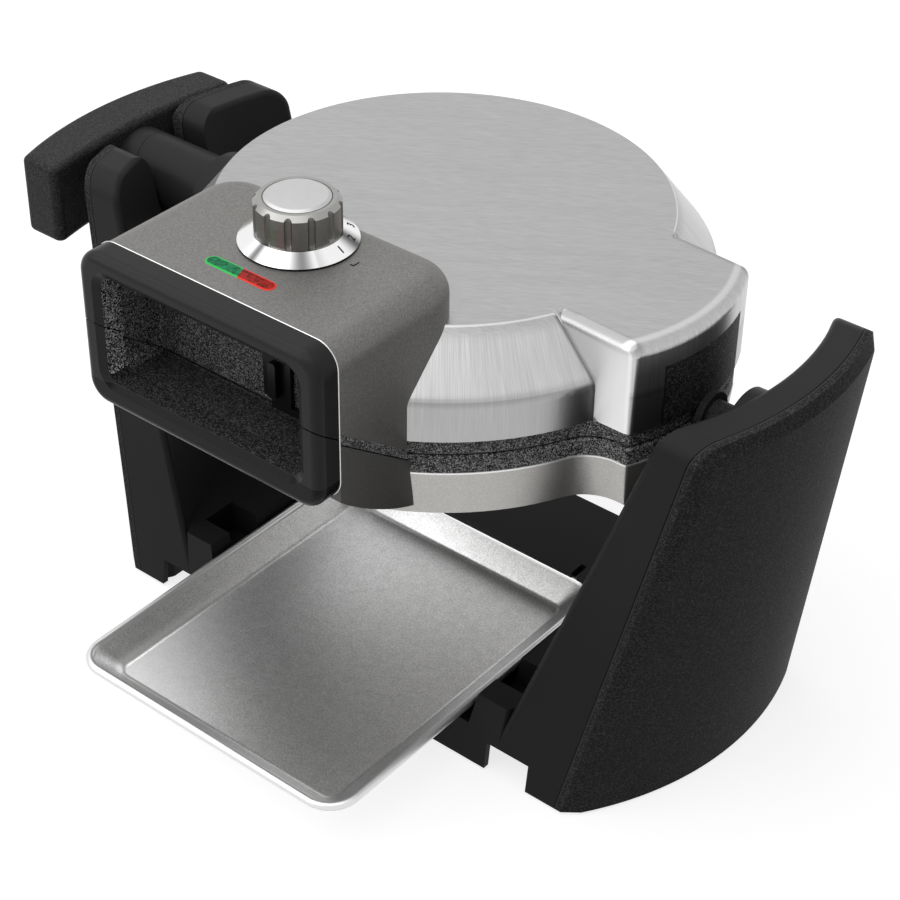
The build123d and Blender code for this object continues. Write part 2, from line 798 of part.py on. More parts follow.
# Lock: slide it right and its tongue enters the keeper's eye. It is held through a
# slot in the liner by a plate on the far side.
lock_mid_x = lock_x + lock_w / 2
lock_face_y = grasp_back_y - lock_clear
tongue_end_x = lock_x + lock_w + tongue_l
with BuildPart() as lock_slide:
    with BuildSketch(Plane.XZ.offset(-lock_face_y)):
        with Locations((lock_mid_x, lock_z + lock_h / 2)):
            RectangleRounded(lock_w, lock_h, lock_corner_r)
    extrude(amount=lock_t)
    with BuildSketch(Plane.XZ.offset(lock_t - lock_face_y)):
        with Locations((lock_mid_x, lock_z + lock_h / 2)):
            RectangleRounded(lock_nub_w, lock_nub_h, lock_nub_corner_r)
    extrude(amount=lock_nub_t)
    with BuildSketch(Plane.XZ.offset(-liner_back_y - lock_clear - lock_back_t)):
        with Locations((lock_mid_x, lock_slot_z)):
            Rectangle(lock_stem_w, lock_stem_h)
    extrude(amount=handle_wall + 2 * lock_clear + lock_back_t + lock_sink)
    with BuildSketch(Plane.XZ.offset(-liner_back_y - lock_clear - lock_back_t)):
        with Locations((lock_mid_x, lock_slot_z)):
            Rectangle(lock_w, lock_back_h)
    extrude(amount=lock_back_t)
    with BuildSketch(Plane.XZ.offset(-tongue_y - tongue_t)):
        with Locations(((lock_mid_x + tongue_end_x) / 2, tongue_z + tongue_w / 2)):
            Rectangle(tongue_end_x - lock_mid_x, tongue_w)
        with Locations((lock_x + lock_w - neck_w / 2, (tongue_z + lock_z + neck_up) / 2)):
            Rectangle(neck_w, lock_z + neck_up - tongue_z)
    extrude(amount=tongue_t)
lock_slide.part.label = "lock_slide"
export_step(lock_slide.part, "parts/lock_slide.step")

with BuildPart() as bezel:
    with BuildSketch(Plane.XZ.offset(-handle_front_y)):
        with Locations((0, (handle_top_z + lower_front_z) / 2)):
            RectangleRounded(2 * handle_half, handle_top_z - lower_front_z, bezel_corner_r)
    extrude(amount=bezel_t)
    fillet(bezel.faces().sort_by(Axis.Y)[0].edges(), bezel_edge_r)
    add(grasp.part, mode=Mode.SUBTRACT)
    bezel_face = bezel.faces().sort_by(Axis.Y)[0]
    opening_rim = bezel_face.inner_wires()[0].edges()
    chamfer(opening_rim, length=bezel_lip_w, length2=bezel_lip_t, reference=bezel_face)

with BuildPart() as upper_bezel:
    add(bezel.part)
    add(handle_band(-over, 0, cut_front_y, cut_back_y), mode=Mode.SUBTRACT)
upper_bezel.part.label = "upper_bezel"
export_step(upper_bezel.part, "parts/upper_bezel.step")

with BuildPart() as lower_bezel:
    add(bezel.part)
    add(handle_band(-2 * band_gap, over, cut_front_y, cut_back_y), mode=Mode.SUBTRACT)
lower_bezel.part.label = "lower_bezel"
export_step(lower_bezel.part, "parts/lower_bezel.step")

# Dial: the knob turns with its skirt on the thermostat's spindle
dial_plane = Plane(origin=(0, dial_y, handle_top_z + dial_gap), x_dir=(1, 0, 0), z_dir=(0, -1, 0))
with BuildPart() as dial_skirt:
    with BuildSketch(dial_plane):
        with BuildLine():
            Polyline(
                (spindle_r, 0),
                (skirt_r, 0),
                (skirt_r, skirt_edge),
                (skirt_top_r, skirt_h),
                (spindle_r, skirt_h),
                close=True,
            )
        make_face()
    revolve(axis=Axis((0, dial_y, 0), (0, 0, 1)))
dial_skirt.part.label = "dial_skirt"
export_step(dial_skirt.part, "parts/dial_skirt.step")

dial_low_z = handle_top_z + dial_gap
knob_low_z = dial_low_z + skirt_h
knob_high_z = knob_low_z + knob_h
with BuildPart() as dial_knob:
    with BuildSketch(Plane.XY.offset(knob_low_z)):
        with Locations((0, dial_y)):
            Circle(knob_r)
    extrude(amount=knob_h)
    chamfer(dial_knob.faces().sort_by(Axis.Z)[-1].edges(), length=knob_bevel, length2=knob_bevel)
    with BuildSketch(Plane.XY.offset(knob_low_z)):
        with Locations((0, dial_y)):
            with PolarLocations(knob_r + flute_out, flute_count):
                Circle(flute_r)
    extrude(amount=knob_h, mode=Mode.SUBTRACT)
    with BuildSketch(Plane.XY.offset(knob_high_z)):
        with Locations((0, dial_y)):
            Circle(cap_r)
    extrude(amount=-cap_h, mode=Mode.SUBTRACT)
    with BuildSketch(Plane.XY.offset(knob_low_z)):
        with Locations((0, dial_y)):
            Circle(spindle_r)
    extrude(amount=knob_h - cap_h, mode=Mode.SUBTRACT)
dial_knob.part.label = "dial_knob"
export_step(dial_knob.part, "parts/dial_knob.step")

cap_low_z = knob_high_z - cap_h
cap_plane = Plane(origin=(0, dial_y, cap_low_z), x_dir=(1, 0, 0), z_dir=(0, -1, 0))
with BuildPart() as dial_cap:
    with BuildSketch(cap_plane):
        with BuildLine():
            Line((0, 0), (cap_r, 0))
            Line((cap_r, 0), (cap_r, cap_h))
            Line((cap_r, cap_h), (cap_r - cap_edge, cap_h + cap_edge_h))
            Line((cap_r - cap_edge, cap_h + cap_edge_h), (0, cap_h + cap_crown))
            Line((0, cap_h + cap_crown), (0, 0))
        make_face()
    revolve(axis=Axis((0, dial_y, 0), (0, 0, 1)))
dial_cap.part.label = "dial_cap"
export_step(dial_cap.part, "parts/dial_cap.step")

spindle_low_z = lid_top_z + spindle_lift
with BuildPart() as dial_spindle:
    with BuildSketch(Plane.XY.offset(spindle_low_z)):
        with Locations((0, dial_y)):
            Circle(spindle_r)
    extrude(amount=cap_low_z - spindle_low_z)
dial_spindle.part.label = "dial_spindle"
export_step(dial_spindle.part, "parts/dial_spindle.step")

with BuildPart() as thermostat:
    with BuildSketch(Plane.XY.offset(lid_top_z)):
        with Locations((0, dial_y + thermostat_shift)):
            Circle(thermostat_r)
    extrude(amount=thermostat_h)
    with BuildSketch(Plane.XY.offset(spindle_low_z)):
        with Locations((0, dial_y)):
            Circle(spindle_r + spindle_running)
    extrude(amount=thermostat_h, mode=Mode.SUBTRACT)
    add(lid_solid(0), mode=Mode.SUBTRACT)
thermostat.part.label = "thermostat"
export_step(thermostat.part, "parts/thermostat.step")

# Ready and power lamps: one oval window in two colours, light pipes on a board below
board_top_z = liner_top_z + board_t
with BuildPart() as control_board:
    with BuildSketch(Plane.XY.offset(liner_top_z)):
        with Locations((0, (handle_front_y + liner_back_y) / 2)):
            Rectangle(2 * board_half, liner_back_y - handle_front_y - 2 * board_edge)
    extrude(amount=board_t)
control_board.part.label = "control_board"
export_step(control_board.part, "parts/control_board.step")

lens_low_z = handle_top_z + lens_proud - lens_t
with BuildPart() as indicator_leds:
    with BuildSketch(Plane.XY.offset(board_top_z)):
        with Locations((-lens_length / 4, lens_y), (lens_length / 4, lens_y)):
            Circle(led_r)
    extrude(amount=lens_low_z - board_top_z)
indicator_leds.part.label = "indicator_leds"
export_step(indicator_leds.part, "parts/indicator_leds.step")

with BuildPart() as lens_window:
    with BuildSketch(Plane.XY.offset(lens_low_z)):
        with Locations((0, lens_y)):
            SlotOverall(lens_length, lens_w)
    extrude(amount=lens_t)
    chamfer(lens_window.faces().sort_by(Axis.Z)[-1].edges(), lens_proud)

slant = math.radians(lens_slant)
colour_split = Plane(origin=(0, lens_y, 0), z_dir=(math.cos(slant), math.sin(slant), 0))

with BuildPart() as green_lens:
    add(lens_window.part)
    split(bisect_by=colour_split, keep=Keep.BOTTOM)
green_lens.part.label = "green_lens"
export_step(green_lens.part, "parts/green_lens.step")

with BuildPart() as red_lens:
    add(lens_window.part)
    split(bisect_by=colour_split, keep=Keep.TOP)
red_lens.part.label = "red_lens"
export_step(red_lens.part, "parts/red_lens.step")

# Pivots: a hollow shaft in an open cradle on the left, a short axle on the right
axle_face_x = boss_face_x + lid_out + lid_gap
axle_end_x = bush_housing_x + bush_l - axle_end_gap
axle_foot_low = frame_low_z - saddle_drop - axle_foot_h
with BuildPart() as right_axle:
    with BuildSketch(Plane.YZ.offset(axle_face_x)):
        with Locations((0, axis_z)):
            Circle(axle_plate_r)
        with Locations((0, (axis_z + axle_foot_low) / 2)):
            Rectangle(2 * axle_plate_r, axis_z - axle_foot_low)
    extrude(amount=axle_plate_t)
    with BuildSketch(Plane.YZ.offset(boss_face_x - axle_foot_reach)):
        with Locations((0, axle_foot_low + axle_foot_h / 2)):
            Rectangle(axle_foot_w, axle_foot_h)
    extrude(amount=axle_face_x + axle_plate_t - boss_face_x + axle_foot_reach)
    with BuildSketch(Plane.YZ.offset(axle_face_x)):
        with Locations((0, axis_z)):
            Circle(axle_r)
    extrude(amount=axle_end_x - axle_face_x)
    with BuildSketch(Plane.YZ.offset(axle_face_x)):
        with Locations((0, axis_z)):
            Circle(axle_bore_r)
    extrude(amount=axle_end_x - axle_face_x, mode=Mode.SUBTRACT)
    add(housing_outer.part, mode=Mode.SUBTRACT)
right_axle.part.label = "right_axle"
export_step(right_axle.part, "parts/right_axle.step")

shaft_start = head_r + lid_out + collar_gap
shaft_end = grip_in_mid + grip_socket
with BuildPart() as rotation_shaft:
    with BuildSketch(Plane.YZ.offset(-shaft_start)):
        with Locations((0, axis_z)):
            Circle(collar_r)
    extrude(amount=-collar_l)
    with BuildSketch(Plane.YZ.offset(-shaft_start - collar_l)):
        with Locations((0, frame_low_z - saddle_drop - saddle_h / 2)):
            Rectangle(saddle_w, saddle_h)
    extrude(amount=shaft_start + collar_l - head_r + saddle_reach)
    with BuildSketch(Plane.YZ.offset(-shaft_start)):
        with Locations((0, axis_z)):
            Circle(shaft_r)
    extrude(amount=shaft_start - shaft_end)
    with BuildSketch(Plane.YZ.offset(-shaft_start)):
        with Locations((0, axis_z)):
            Circle(shaft_bore_r)
    extrude(amount=shaft_start - shaft_end, mode=Mode.SUBTRACT)
    add(housing_outer.part, mode=Mode.SUBTRACT)
rotation_shaft.part.label = "rotation_shaft"
export_step(rotation_shaft.part, "parts/rotation_shaft.step")

with BuildPart() as grip_bar:
    with BuildSketch(Plane.XY.offset(grip_mid_z - grip_h / 2)):
        with BuildLine():
            ThreePointArc((-grip_in_end, -grip_half), (-grip_in_mid, 0), (-grip_in_end, grip_half))
            Line((-grip_in_end, grip_half), (-grip_out_end, grip_half))
            ThreePointArc((-grip_out_end, grip_half), (-grip_out_mid, 0), (-grip_out_end, -grip_half))
            Line((-grip_out_end, -grip_half), (-grip_in_end, -grip_half))
        make_face()
    extrude(amount=grip_h)
    fillet(grip_bar.edges().filter_by(Axis.Z), grip_corner_r)
    fillet(grip_bar.faces().sort_by(Axis.Z)[-1].edges(), grip_edge_r)
    fillet(grip_bar.faces().sort_by(Axis.Z)[0].edges(), grip_edge_r)
    with BuildSketch(Plane.YZ.offset(-shaft_end)):
        with Locations((0, axis_z)):
            Circle(shaft_r)
    extrude(amount=shaft_end - grip_in_end, mode=Mode.SUBTRACT)
grip_bar.part.label = "grip_bar"
export_step(grip_bar.part, "parts/grip_bar.step")


def front_line(z):
    """Where the leaning front of the stand is at height z."""
    return stand_front_y + stand_lean * z


def inner_bow(z, y, out):
    """Inner face of a tower: a bow in plan that moves outwards above the shelf."""
    rise = max(0, z - shelf_z) * (inner_mid_top - inner_mid_low) / (tower_top_z - shelf_z)
    return inner_mid_low + rise + out - inner_bow_r + math.sqrt(inner_bow_r**2 - (y - bow_y) ** 2)


def inner_space(z, wall):
    """Plan at height z of all that lies on the head's side of a tower's inner face."""
    front = stand_front_y - tower_wall
    back = stand_back_y + tower_wall
    with BuildSketch(Plane.XY.offset(z)) as space:
        with BuildLine():
            ThreePointArc(
                (inner_bow(z, front, wall), front),
                (inner_bow(z, bow_y, wall), bow_y),
                (inner_bow(z, back, wall), back),
            )
            Line((inner_bow(z, back, wall), back), (-past, back))
            Line((-past, back), (-past, front))
            Line((-past, front), (inner_bow(z, front, wall), front))
        make_face()
    return space.sketch


def joint_arc(z, shift):
    """Front, middle and back of the bow between tower and cover, moved out by shift."""
    return (
        (joint_front_low + joint_front_rise * z + shift, front_line(z)),
        (joint_mid_low + joint_rise * z + shift, bow_y),
        (joint_back_low + joint_rise * z + shift, stand_back_y),
    )


# Side view of the stand with its rounded upper corners, as a block that trims the towers
with BuildPart() as tower_profile:
    with BuildSketch(Plane.YZ) as side_view:
        with BuildLine():
            Polyline(
                (front_line(foot_h), foot_h),
                (front_line(tower_top_z), tower_top_z),
                (stand_back_y, tower_top_z),
                (stand_back_y, foot_h),
                close=True,
            )
        make_face()
        fillet(side_view.vertices().group_by(Axis.Y)[-1], tower_corner_r)
    extrude(amount=4 * over)


def tower_body(around_pivot):
    """One tower, hollow towards its cover, with solid metal left around the pivot."""
    with BuildPart() as head_side:
        add(inner_space(foot_h, 0))
        add(inner_space(shelf_z, 0))
        loft(ruled=True)
        add(inner_space(shelf_z, 0))
        add(inner_space(tower_top_z, 0))
        loft(ruled=True)
    with BuildPart() as hollow:
        with BuildSketch(Plane.YZ) as inside_view:
            with BuildLine():
                Polyline(
                    (front_line(foot_h) + tower_wall, foot_h),
                    (front_line(tower_top_z) + tower_wall, tower_top_z - tower_wall),
                    (stand_back_y - tower_wall, tower_top_z - tower_wall),
                    (stand_back_y - tower_wall, foot_h),
                    close=True,
                )
            make_face()
            fillet(inside_view.vertices().group_by(Axis.Y)[-1], tower_corner_r - tower_wall)
            add(around_pivot, mode=Mode.SUBTRACT)
        extrude(amount=4 * over)
        add(inner_space(foot_h, tower_wall))
        add(inner_space(shelf_z, tower_wall))
        loft(ruled=True, mode=Mode.SUBTRACT)
        add(inner_space(shelf_z, tower_wall))
        add(inner_space(tower_top_z, tower_wall))
        loft(ruled=True, mode=Mode.SUBTRACT)
        with BuildSketch(Plane.XY.offset(foot_h)):
            with Locations((foot_front_x, foot_front_y), (foot_rear_x, foot_rear_y)):
                Circle(foot_r + foot_seat_wall)
        extrude(amount=foot_boss_h, mode=Mode.SUBTRACT)
    with BuildPart() as body:
        for z in (foot_h, tower_top_z):
            bow = joint_arc(z, 0)
            with BuildSketch(Plane.XY.offset(z)):
                with BuildLine():
                    ThreePointArc(*bow)
                    Line(bow[2], (0, stand_back_y))
                    Line((0, stand_back_y), (0, front_line(z)))
                    Line((0, front_line(z)), bow[0])
                make_face()
        loft(ruled=True)
        add(head_side.part, mode=Mode.SUBTRACT)
        add(tower_profile.part, mode=Mode.INTERSECT)
        fronts = body.edges().filter_by(lambda e: e.center().Y < front_line(e.center().Z) + past)
        fillet(fronts.filter_by(lambda e: e.center().Z > shelf_z).sort_by(Axis.X)[0], inner_edge_r)
        add(hollow.part, mode=Mode.SUBTRACT)
        with BuildSketch(Plane.XY.offset(foot_h)):
            with Locations((foot_front_x, foot_front_y), (foot_rear_x, foot_rear_y)):
                Circle(foot_r)
        extrude(amount=foot_seat, mode=Mode.SUBTRACT)
        with BuildSketch(Plane.XY.offset(foot_h)):
            with Locations((foot_front_x, foot_front_y), (foot_rear_x, foot_rear_y)):
                Circle(screw_r)
        extrude(amount=screw_l, mode=Mode.SUBTRACT)
        with BuildSketch(Plane.XY.offset(foot_h)):
            with Locations((notch_mid_x, stand_front_y)):
                Rectangle(notch_out - notch_in, 2 * notch_l)
        extrude(amount=notch_h, mode=Mode.SUBTRACT)
    return body.part


def cover_body():
    """The slab that closes a tower's outer side, bevelled at its front, top and back."""
    with BuildPart() as body:
        for z in (foot_h, tower_top_z):
            inside = joint_arc(z, 0)
            outside = joint_arc(z, cover_t)
            with BuildSketch(Plane.XY.offset(z)):
                with BuildLine():
                    ThreePointArc(*inside)
                    Line(inside[2], outside[2])
                    ThreePointArc(outside[2], outside[1], outside[0])
                    Line(outside[0], inside[0])
                make_face()
        loft(ruled=True)
        add(tower_profile.part, mode=Mode.INTERSECT)
        outer_face = body.faces().sort_by(SortBy.AREA)[-2:].sort_by(Axis.X)[-1]
        rim = outer_face.edges().filter_by(lambda e: e.center().Z > foot_h + past)
        chamfer(rim, length=cover_bevel, length2=cover_bevel_depth, reference=outer_face)
    return body.part


with BuildSketch() as bush_housing:
    with Locations((0, axis_z)):
        Circle(bush_housing_r)

with BuildPart() as tower_frame_right:
    add(tower_body(bush_housing.sketch))
    with BuildSketch(Plane.YZ.offset(bush_housing_x)):
        with Locations((0, axis_z)):
            Circle(bush_housing_r)
    extrude(amount=bush_l)
    with BuildSketch(Plane.YZ.offset(bush_housing_x)):
        with Locations((0, axis_z)):
            Circle(axle_r + bush_wall)
    extrude(amount=bush_l, mode=Mode.SUBTRACT)
    with BuildSketch(Plane.XZ.offset(-stand_back_y)):
        with Locations((gland_x, gland_z)):
            Circle(gland_r)
    extrude(amount=tower_wall, mode=Mode.SUBTRACT)
tower_frame_right.part.label = "tower_frame_right"
export_step(tower_frame_right.part, "parts/tower_frame_right.step")

with BuildPart() as tower_cover_right:
    add(cover_body())
tower_cover_right.part.label = "tower_cover_right"
export_step(tower_cover_right.part, "parts/tower_cover_right.step")

with BuildPart() as axle_bush:
    with BuildSketch(Plane.YZ.offset(bush_housing_x)):
        with Locations((0, axis_z)):
            Circle(axle_r + bush_wall)
            Circle(axle_r + axle_running, mode=Mode.SUBTRACT)
    extrude(amount=bush_l)
axle_bush.part.label = "axle_bush"
export_step(axle_bush.part, "parts/axle_bush.step")


def slot_plan(half, lip_r):
    """Open slot for the shaft, half wide, round below and flared by lip_r at its mouth."""
    with BuildSketch() as slot:
        with Locations((0, axis_z)):
            Circle(half)
        with Locations((0, axis_z + over / 2)):
            Rectangle(2 * half, over)
        if lip_r:
            with Locations((0, lip_z + over / 2)):
                Rectangle(2 * (half + lip_r), over)
            with Locations((-half - lip_r, lip_z), (half + lip_r, lip_z)):
                Circle(lip_r, mode=Mode.SUBTRACT)
    return slot.sketch


cradle_half = shaft_r + cradle_wall
lip_z = tower_top_z - cradle_lip_r
with BuildPart() as tower_frame_left:
    mirror(tower_body(slot_plan(cradle_half + tower_wall, cradle_lip_r - tower_wall)), about=Plane.YZ)
    with BuildSketch(Plane.YZ):
        add(slot_plan(cradle_half, cradle_lip_r))
    extrude(amount=-4 * over, mode=Mode.SUBTRACT)
tower_frame_left.part.label = "tower_frame_left"
export_step(tower_frame_left.part, "parts/tower_frame_left.step")

with BuildPart() as tower_cover_left:
    mirror(cover_body(), about=Plane.YZ)
    with BuildSketch(Plane.YZ):
        add(slot_plan(cradle_half, cradle_lip_r))
    extrude(amount=-4 * over, mode=Mode.SUBTRACT)
tower_cover_left.part.label = "tower_cover_left"
export_step(tower_cover_left.part, "parts/tower_cover_left.step")

with BuildPart() as cradle_liner:
    with BuildSketch(Plane.YZ.offset(-cradle_in_x)):
        add(slot_plan(cradle_half, 0))
        add(slot_plan(shaft_r + shaft_running, 0), mode=Mode.SUBTRACT)
    extrude(amount=-cradle_l)
    with BuildSketch(Plane.XY.offset(cradle_top_z)):
        Rectangle(8 * over, over)
    extrude(amount=over, mode=Mode.SUBTRACT)
cradle_liner.part.label = "cradle_liner"
export_step(cradle_liner.part, "parts/cradle_liner.step")


def base_block(wall):
    """The base between the inner faces of the towers, its walls drawn in by wall."""
    front = stand_front_y - tower_wall
    back = stand_back_y + tower_wall
    front_x = inner_bow(foot_h, front, -wall)
    middle_x = inner_bow(foot_h, bow_y, -wall)
    back_x = inner_bow(foot_h, back, -wall)
    with BuildPart() as block:
        with BuildSketch(Plane.XY.offset(foot_h)):
            with BuildLine():
                Line((-front_x, front), (front_x, front))
                ThreePointArc((front_x, front), (middle_x, bow_y), (back_x, back))
                Line((back_x, back), (-back_x, back))
                ThreePointArc((-back_x, back), (-middle_x, bow_y), (-front_x, front))
            make_face()
        extrude(amount=shelf_z - wall - foot_h)
        with BuildSketch(Plane.YZ):
            with BuildLine():
                Polyline(
                    (front_line(foot_h) + wall, foot_h),
                    (front_line(shelf_z) + wall, shelf_z),
                    (stand_back_y - wall, shelf_z),
                    (stand_back_y - wall, foot_h),
                    close=True,
                )
            make_face()
        extrude(amount=4 * over, both=True, mode=Mode.INTERSECT)
    return block.part


with BuildPart() as base_hollow:
    add(base_block(shelf_wall))
    with BuildSketch(Plane.XZ.offset(-stand_back_y)):
        with BuildLine():
            Polyline(
                (-bay_low_half - shelf_wall, bay_floor_z - shelf_wall),
                (bay_low_half + shelf_wall, bay_floor_z - shelf_wall),
                (bay_top_half + shelf_wall, shelf_z),
                (-bay_top_half - shelf_wall, shelf_z),
                close=True,
            )
        make_face()
    extrude(amount=4 * over, mode=Mode.SUBTRACT)
    with BuildSketch(Plane.XY.offset(bay_floor_z)):
        with Locations((-pocket_mid_x, pocket_mid_y), (pocket_mid_x, pocket_mid_y)):
            Rectangle(pocket_x - bay_low_half + 2 * shelf_wall, pocket_l + 2 * shelf_wall)
    extrude(amount=shelf_z, mode=Mode.SUBTRACT)

rail_top_z = tray_bottom_z - rail_clear
with BuildPart() as stand_base:
    add(base_block(0))
    add(base_hollow.part, mode=Mode.SUBTRACT)
    with BuildSketch(Plane.XZ.offset(shelf_wall - stand_back_y)):
        with BuildLine():
            Polyline(
                (-bay_low_half, rail_top_z),
                (bay_low_half, rail_top_z),
                (bay_top_half, shelf_z + past),
                (-bay_top_half, shelf_z + past),
                close=True,
            )
        make_face()
    extrude(amount=4 * over, mode=Mode.SUBTRACT)
    with BuildSketch(Plane.XY.offset(bay_floor_z)):
        with Locations((0, (front_line(bay_floor_z) + stand_back_y) / 2)):
            Rectangle(2 * bay_low_half, stand_back_y - front_line(bay_floor_z) - 2 * shelf_wall)
    extrude(amount=rail_top_z - bay_floor_z, mode=Mode.SUBTRACT)
    with BuildSketch(Plane.XY.offset(bay_floor_z)):
        with Locations((-rail_x, 0), (rail_x, 0)):
            Rectangle(rail_w, 2 * (stand_back_y - shelf_wall))
    extrude(amount=rail_top_z - bay_floor_z)
    with BuildSketch(Plane.XY.offset(pocket_floor_z)):
        with Locations((-pocket_mid_x, pocket_mid_y), (pocket_mid_x, pocket_mid_y)):
            Rectangle(pocket_x - bay_low_half, pocket_l)
    extrude(amount=shelf_z, mode=Mode.SUBTRACT)
    with BuildSketch(Plane.XY.offset(shelf_z - bridge_t)):
        with Locations((0, (bridge_y + stand_back_y - bridge_in) / 2)):
            Rectangle(2 * (bay_top_half + bridge_in), stand_back_y - bridge_in - bridge_y)
        with Locations((-bridge_notch_x, bridge_y), (bridge_notch_x, bridge_y)):
            Rectangle(bridge_notch_w, 2 * bridge_notch_l, mode=Mode.SUBTRACT)
    extrude(amount=bridge_t)
    with BuildSketch(Plane.XY.offset(foot_h)):
        with Locations((-notch_mid_x, stand_front_y), (notch_mid_x, stand_front_y)):
            Rectangle(notch_out - notch_in, 2 * notch_l)
    extrude(amount=notch_h, mode=Mode.SUBTRACT)
stand_base.part.label = "stand_base"
export_step(stand_base.part, "parts/stand_base.step")

foot_spots = [
    (side * x, y)
    for side in (-1, 1)
    for x, y in ((foot_front_x, foot_front_y), (foot_rear_x, foot_rear_y))
]
with BuildPart() as rubber_feet:
    with BuildSketch():
        with Locations(*foot_spots):
            Circle(foot_r)
    extrude(amount=foot_h + foot_seat)
    fillet(rubber_feet.faces().group_by(Axis.Z)[0].edges(), foot_edge_r)
    with BuildSketch():
        with Locations(*foot_spots):
            Circle(screw_head_r)
    extrude(amount=screw_head_z + screw_head_h, mode=Mode.SUBTRACT)
    with BuildSketch():
        with Locations(*foot_spots):
            Circle(screw_r)
    extrude(amount=foot_h + foot_seat, mode=Mode.SUBTRACT)
rubber_feet.part.label = "rubber_feet"
export_step(rubber_feet.part, "parts/rubber_feet.step")

with BuildPart() as stand_screws:
    with BuildSketch(Plane.XY.offset(screw_head_z)):
        with Locations(*foot_spots):
            Circle(screw_head_r)
    extrude(amount=screw_head_h)
    with BuildSketch(Plane.XY.offset(screw_head_z)):
        with Locations(*foot_spots):
            Circle(screw_r)
    extrude(amount=screw_l)
stand_screws.part.label = "stand_screws"
export_step(stand_screws.part, "parts/stand_screws.step")

with BuildPart() as cord_gland:
    with BuildSketch(Plane.XZ.offset(tower_wall - stand_back_y)):
        with Locations((gland_x, gland_z)):
            Circle(gland_r)
    extrude(amount=-tower_wall)
    with BuildSketch(Plane.XZ.offset(-stand_back_y)):
        with Locations((gland_x, gland_z)):
            Circle(gland_r + gland_lip)
    extrude(amount=-gland_lip)
    with BuildSketch(Plane.XZ.offset(-stand_back_y - gland_lip)):
        with Locations((gland_x, gland_z)):
            Circle(gland_r)
    extrude(amount=-gland_l, taper=gland_taper)
    with BuildSketch(Plane.XZ.offset(tower_wall - stand_back_y)):
        with Locations((gland_x, gland_z)):
            Circle(gland_bore_r)
    extrude(amount=-tower_wall - gland_lip - gland_l, mode=Mode.SUBTRACT)
cord_gland.part.label = "cord_gland"
export_step(cord_gland.part, "parts/cord_gland.step")

# Drip tray: a pressed pan with a rolled rim that slides in under the head
tray_rim_z = tray_bottom_z + tray_h - tray_bead_r
tray_mid_y = tray_front_y + tray_length / 2
tray_low_inset = tray_bead_r + tray_slope


def tray_outline(z, inset, corner_r):
    """Rounded outline of the tray at height z, drawn in by inset."""
    with BuildSketch(Plane.XY.offset(z)) as outline:
        with Locations((0, tray_mid_y)):
            RectangleRounded(2 * (tray_half - inset), tray_length - 2 * inset, corner_r)
    return outline.sketch


def tray_pan(lift, inset, edge_r):
    """The pan as a solid block, lifted and drawn in, with its floor's edge rounded."""
    with BuildPart() as pan:
        add(tray_outline(tray_bottom_z + lift, tray_low_inset + inset, tray_low_corner_r - inset))
        add(tray_outline(tray_rim_z + lift, tray_bead_r + inset, tray_rim_corner_r - inset))
        loft(ruled=True)
        fillet(pan.faces().sort_by(Axis.Z)[0].edges(), edge_r)
    return pan.part


with BuildPart() as drip_tray:
    add(tray_pan(0, 0, tray_low_edge_r + tray_sheet))
    add(tray_pan(tray_sheet, tray_sheet / 2, tray_low_edge_r), mode=Mode.SUBTRACT)
    rim_path = tray_outline(tray_rim_z, tray_bead_r, tray_rim_corner_r).face().outer_wire()
    with BuildSketch(Plane(rim_path @ 0, z_dir=rim_path % 0)):
        Circle(tray_bead_r)
    sweep(path=rim_path)
drip_tray.part.label = "drip_tray"
export_step(drip_tray.part, "parts/drip_tray.step")
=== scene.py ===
from math import cos, pi, sin

import bpy
from mathutils import Matrix, Vector


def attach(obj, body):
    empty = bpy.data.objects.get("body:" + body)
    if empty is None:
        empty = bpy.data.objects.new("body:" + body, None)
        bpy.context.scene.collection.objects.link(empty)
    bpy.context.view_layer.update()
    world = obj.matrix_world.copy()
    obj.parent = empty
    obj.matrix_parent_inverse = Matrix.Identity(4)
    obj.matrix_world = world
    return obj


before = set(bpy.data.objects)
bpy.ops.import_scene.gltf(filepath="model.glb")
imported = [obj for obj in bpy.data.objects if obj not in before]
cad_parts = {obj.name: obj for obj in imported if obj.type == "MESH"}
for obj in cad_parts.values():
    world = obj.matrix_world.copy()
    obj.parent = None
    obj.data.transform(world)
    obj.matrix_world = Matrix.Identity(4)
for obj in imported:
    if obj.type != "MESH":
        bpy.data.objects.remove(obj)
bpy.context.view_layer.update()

# Camera
# Where the photograph was taken from: above, in front and to the right of the machine,
# with a lens that frames a square picture.
camera_data = bpy.data.cameras.new("photo_camera")
camera_data.sensor_width = 36.0
camera_data.lens = 88.14
camera_data.clip_end = 20.0
camera = bpy.data.objects.new("photo_camera", camera_data)
bpy.context.collection.objects.link(camera)
camera.matrix_world = Matrix((
    (0.776389, -0.379017, 0.503554, 0.495476),
    (0.630134, 0.451216, -0.631930, -0.615323),
    (0.012301, 0.807930, 0.589150, 0.664388),
    (0.0, 0.0, 0.0, 1.0),
))
bpy.context.scene.camera = camera

# Table, backdrop and lamps
# A sheet of white paper under the machine and white all round it. One large soft lamp
# hangs above, and a second one stands in front on the left.
table_size = 12.0
paper_tone = 0.38
paper_glow = 0.78
fill_strength = 0.32
backdrop_strength = 1.0


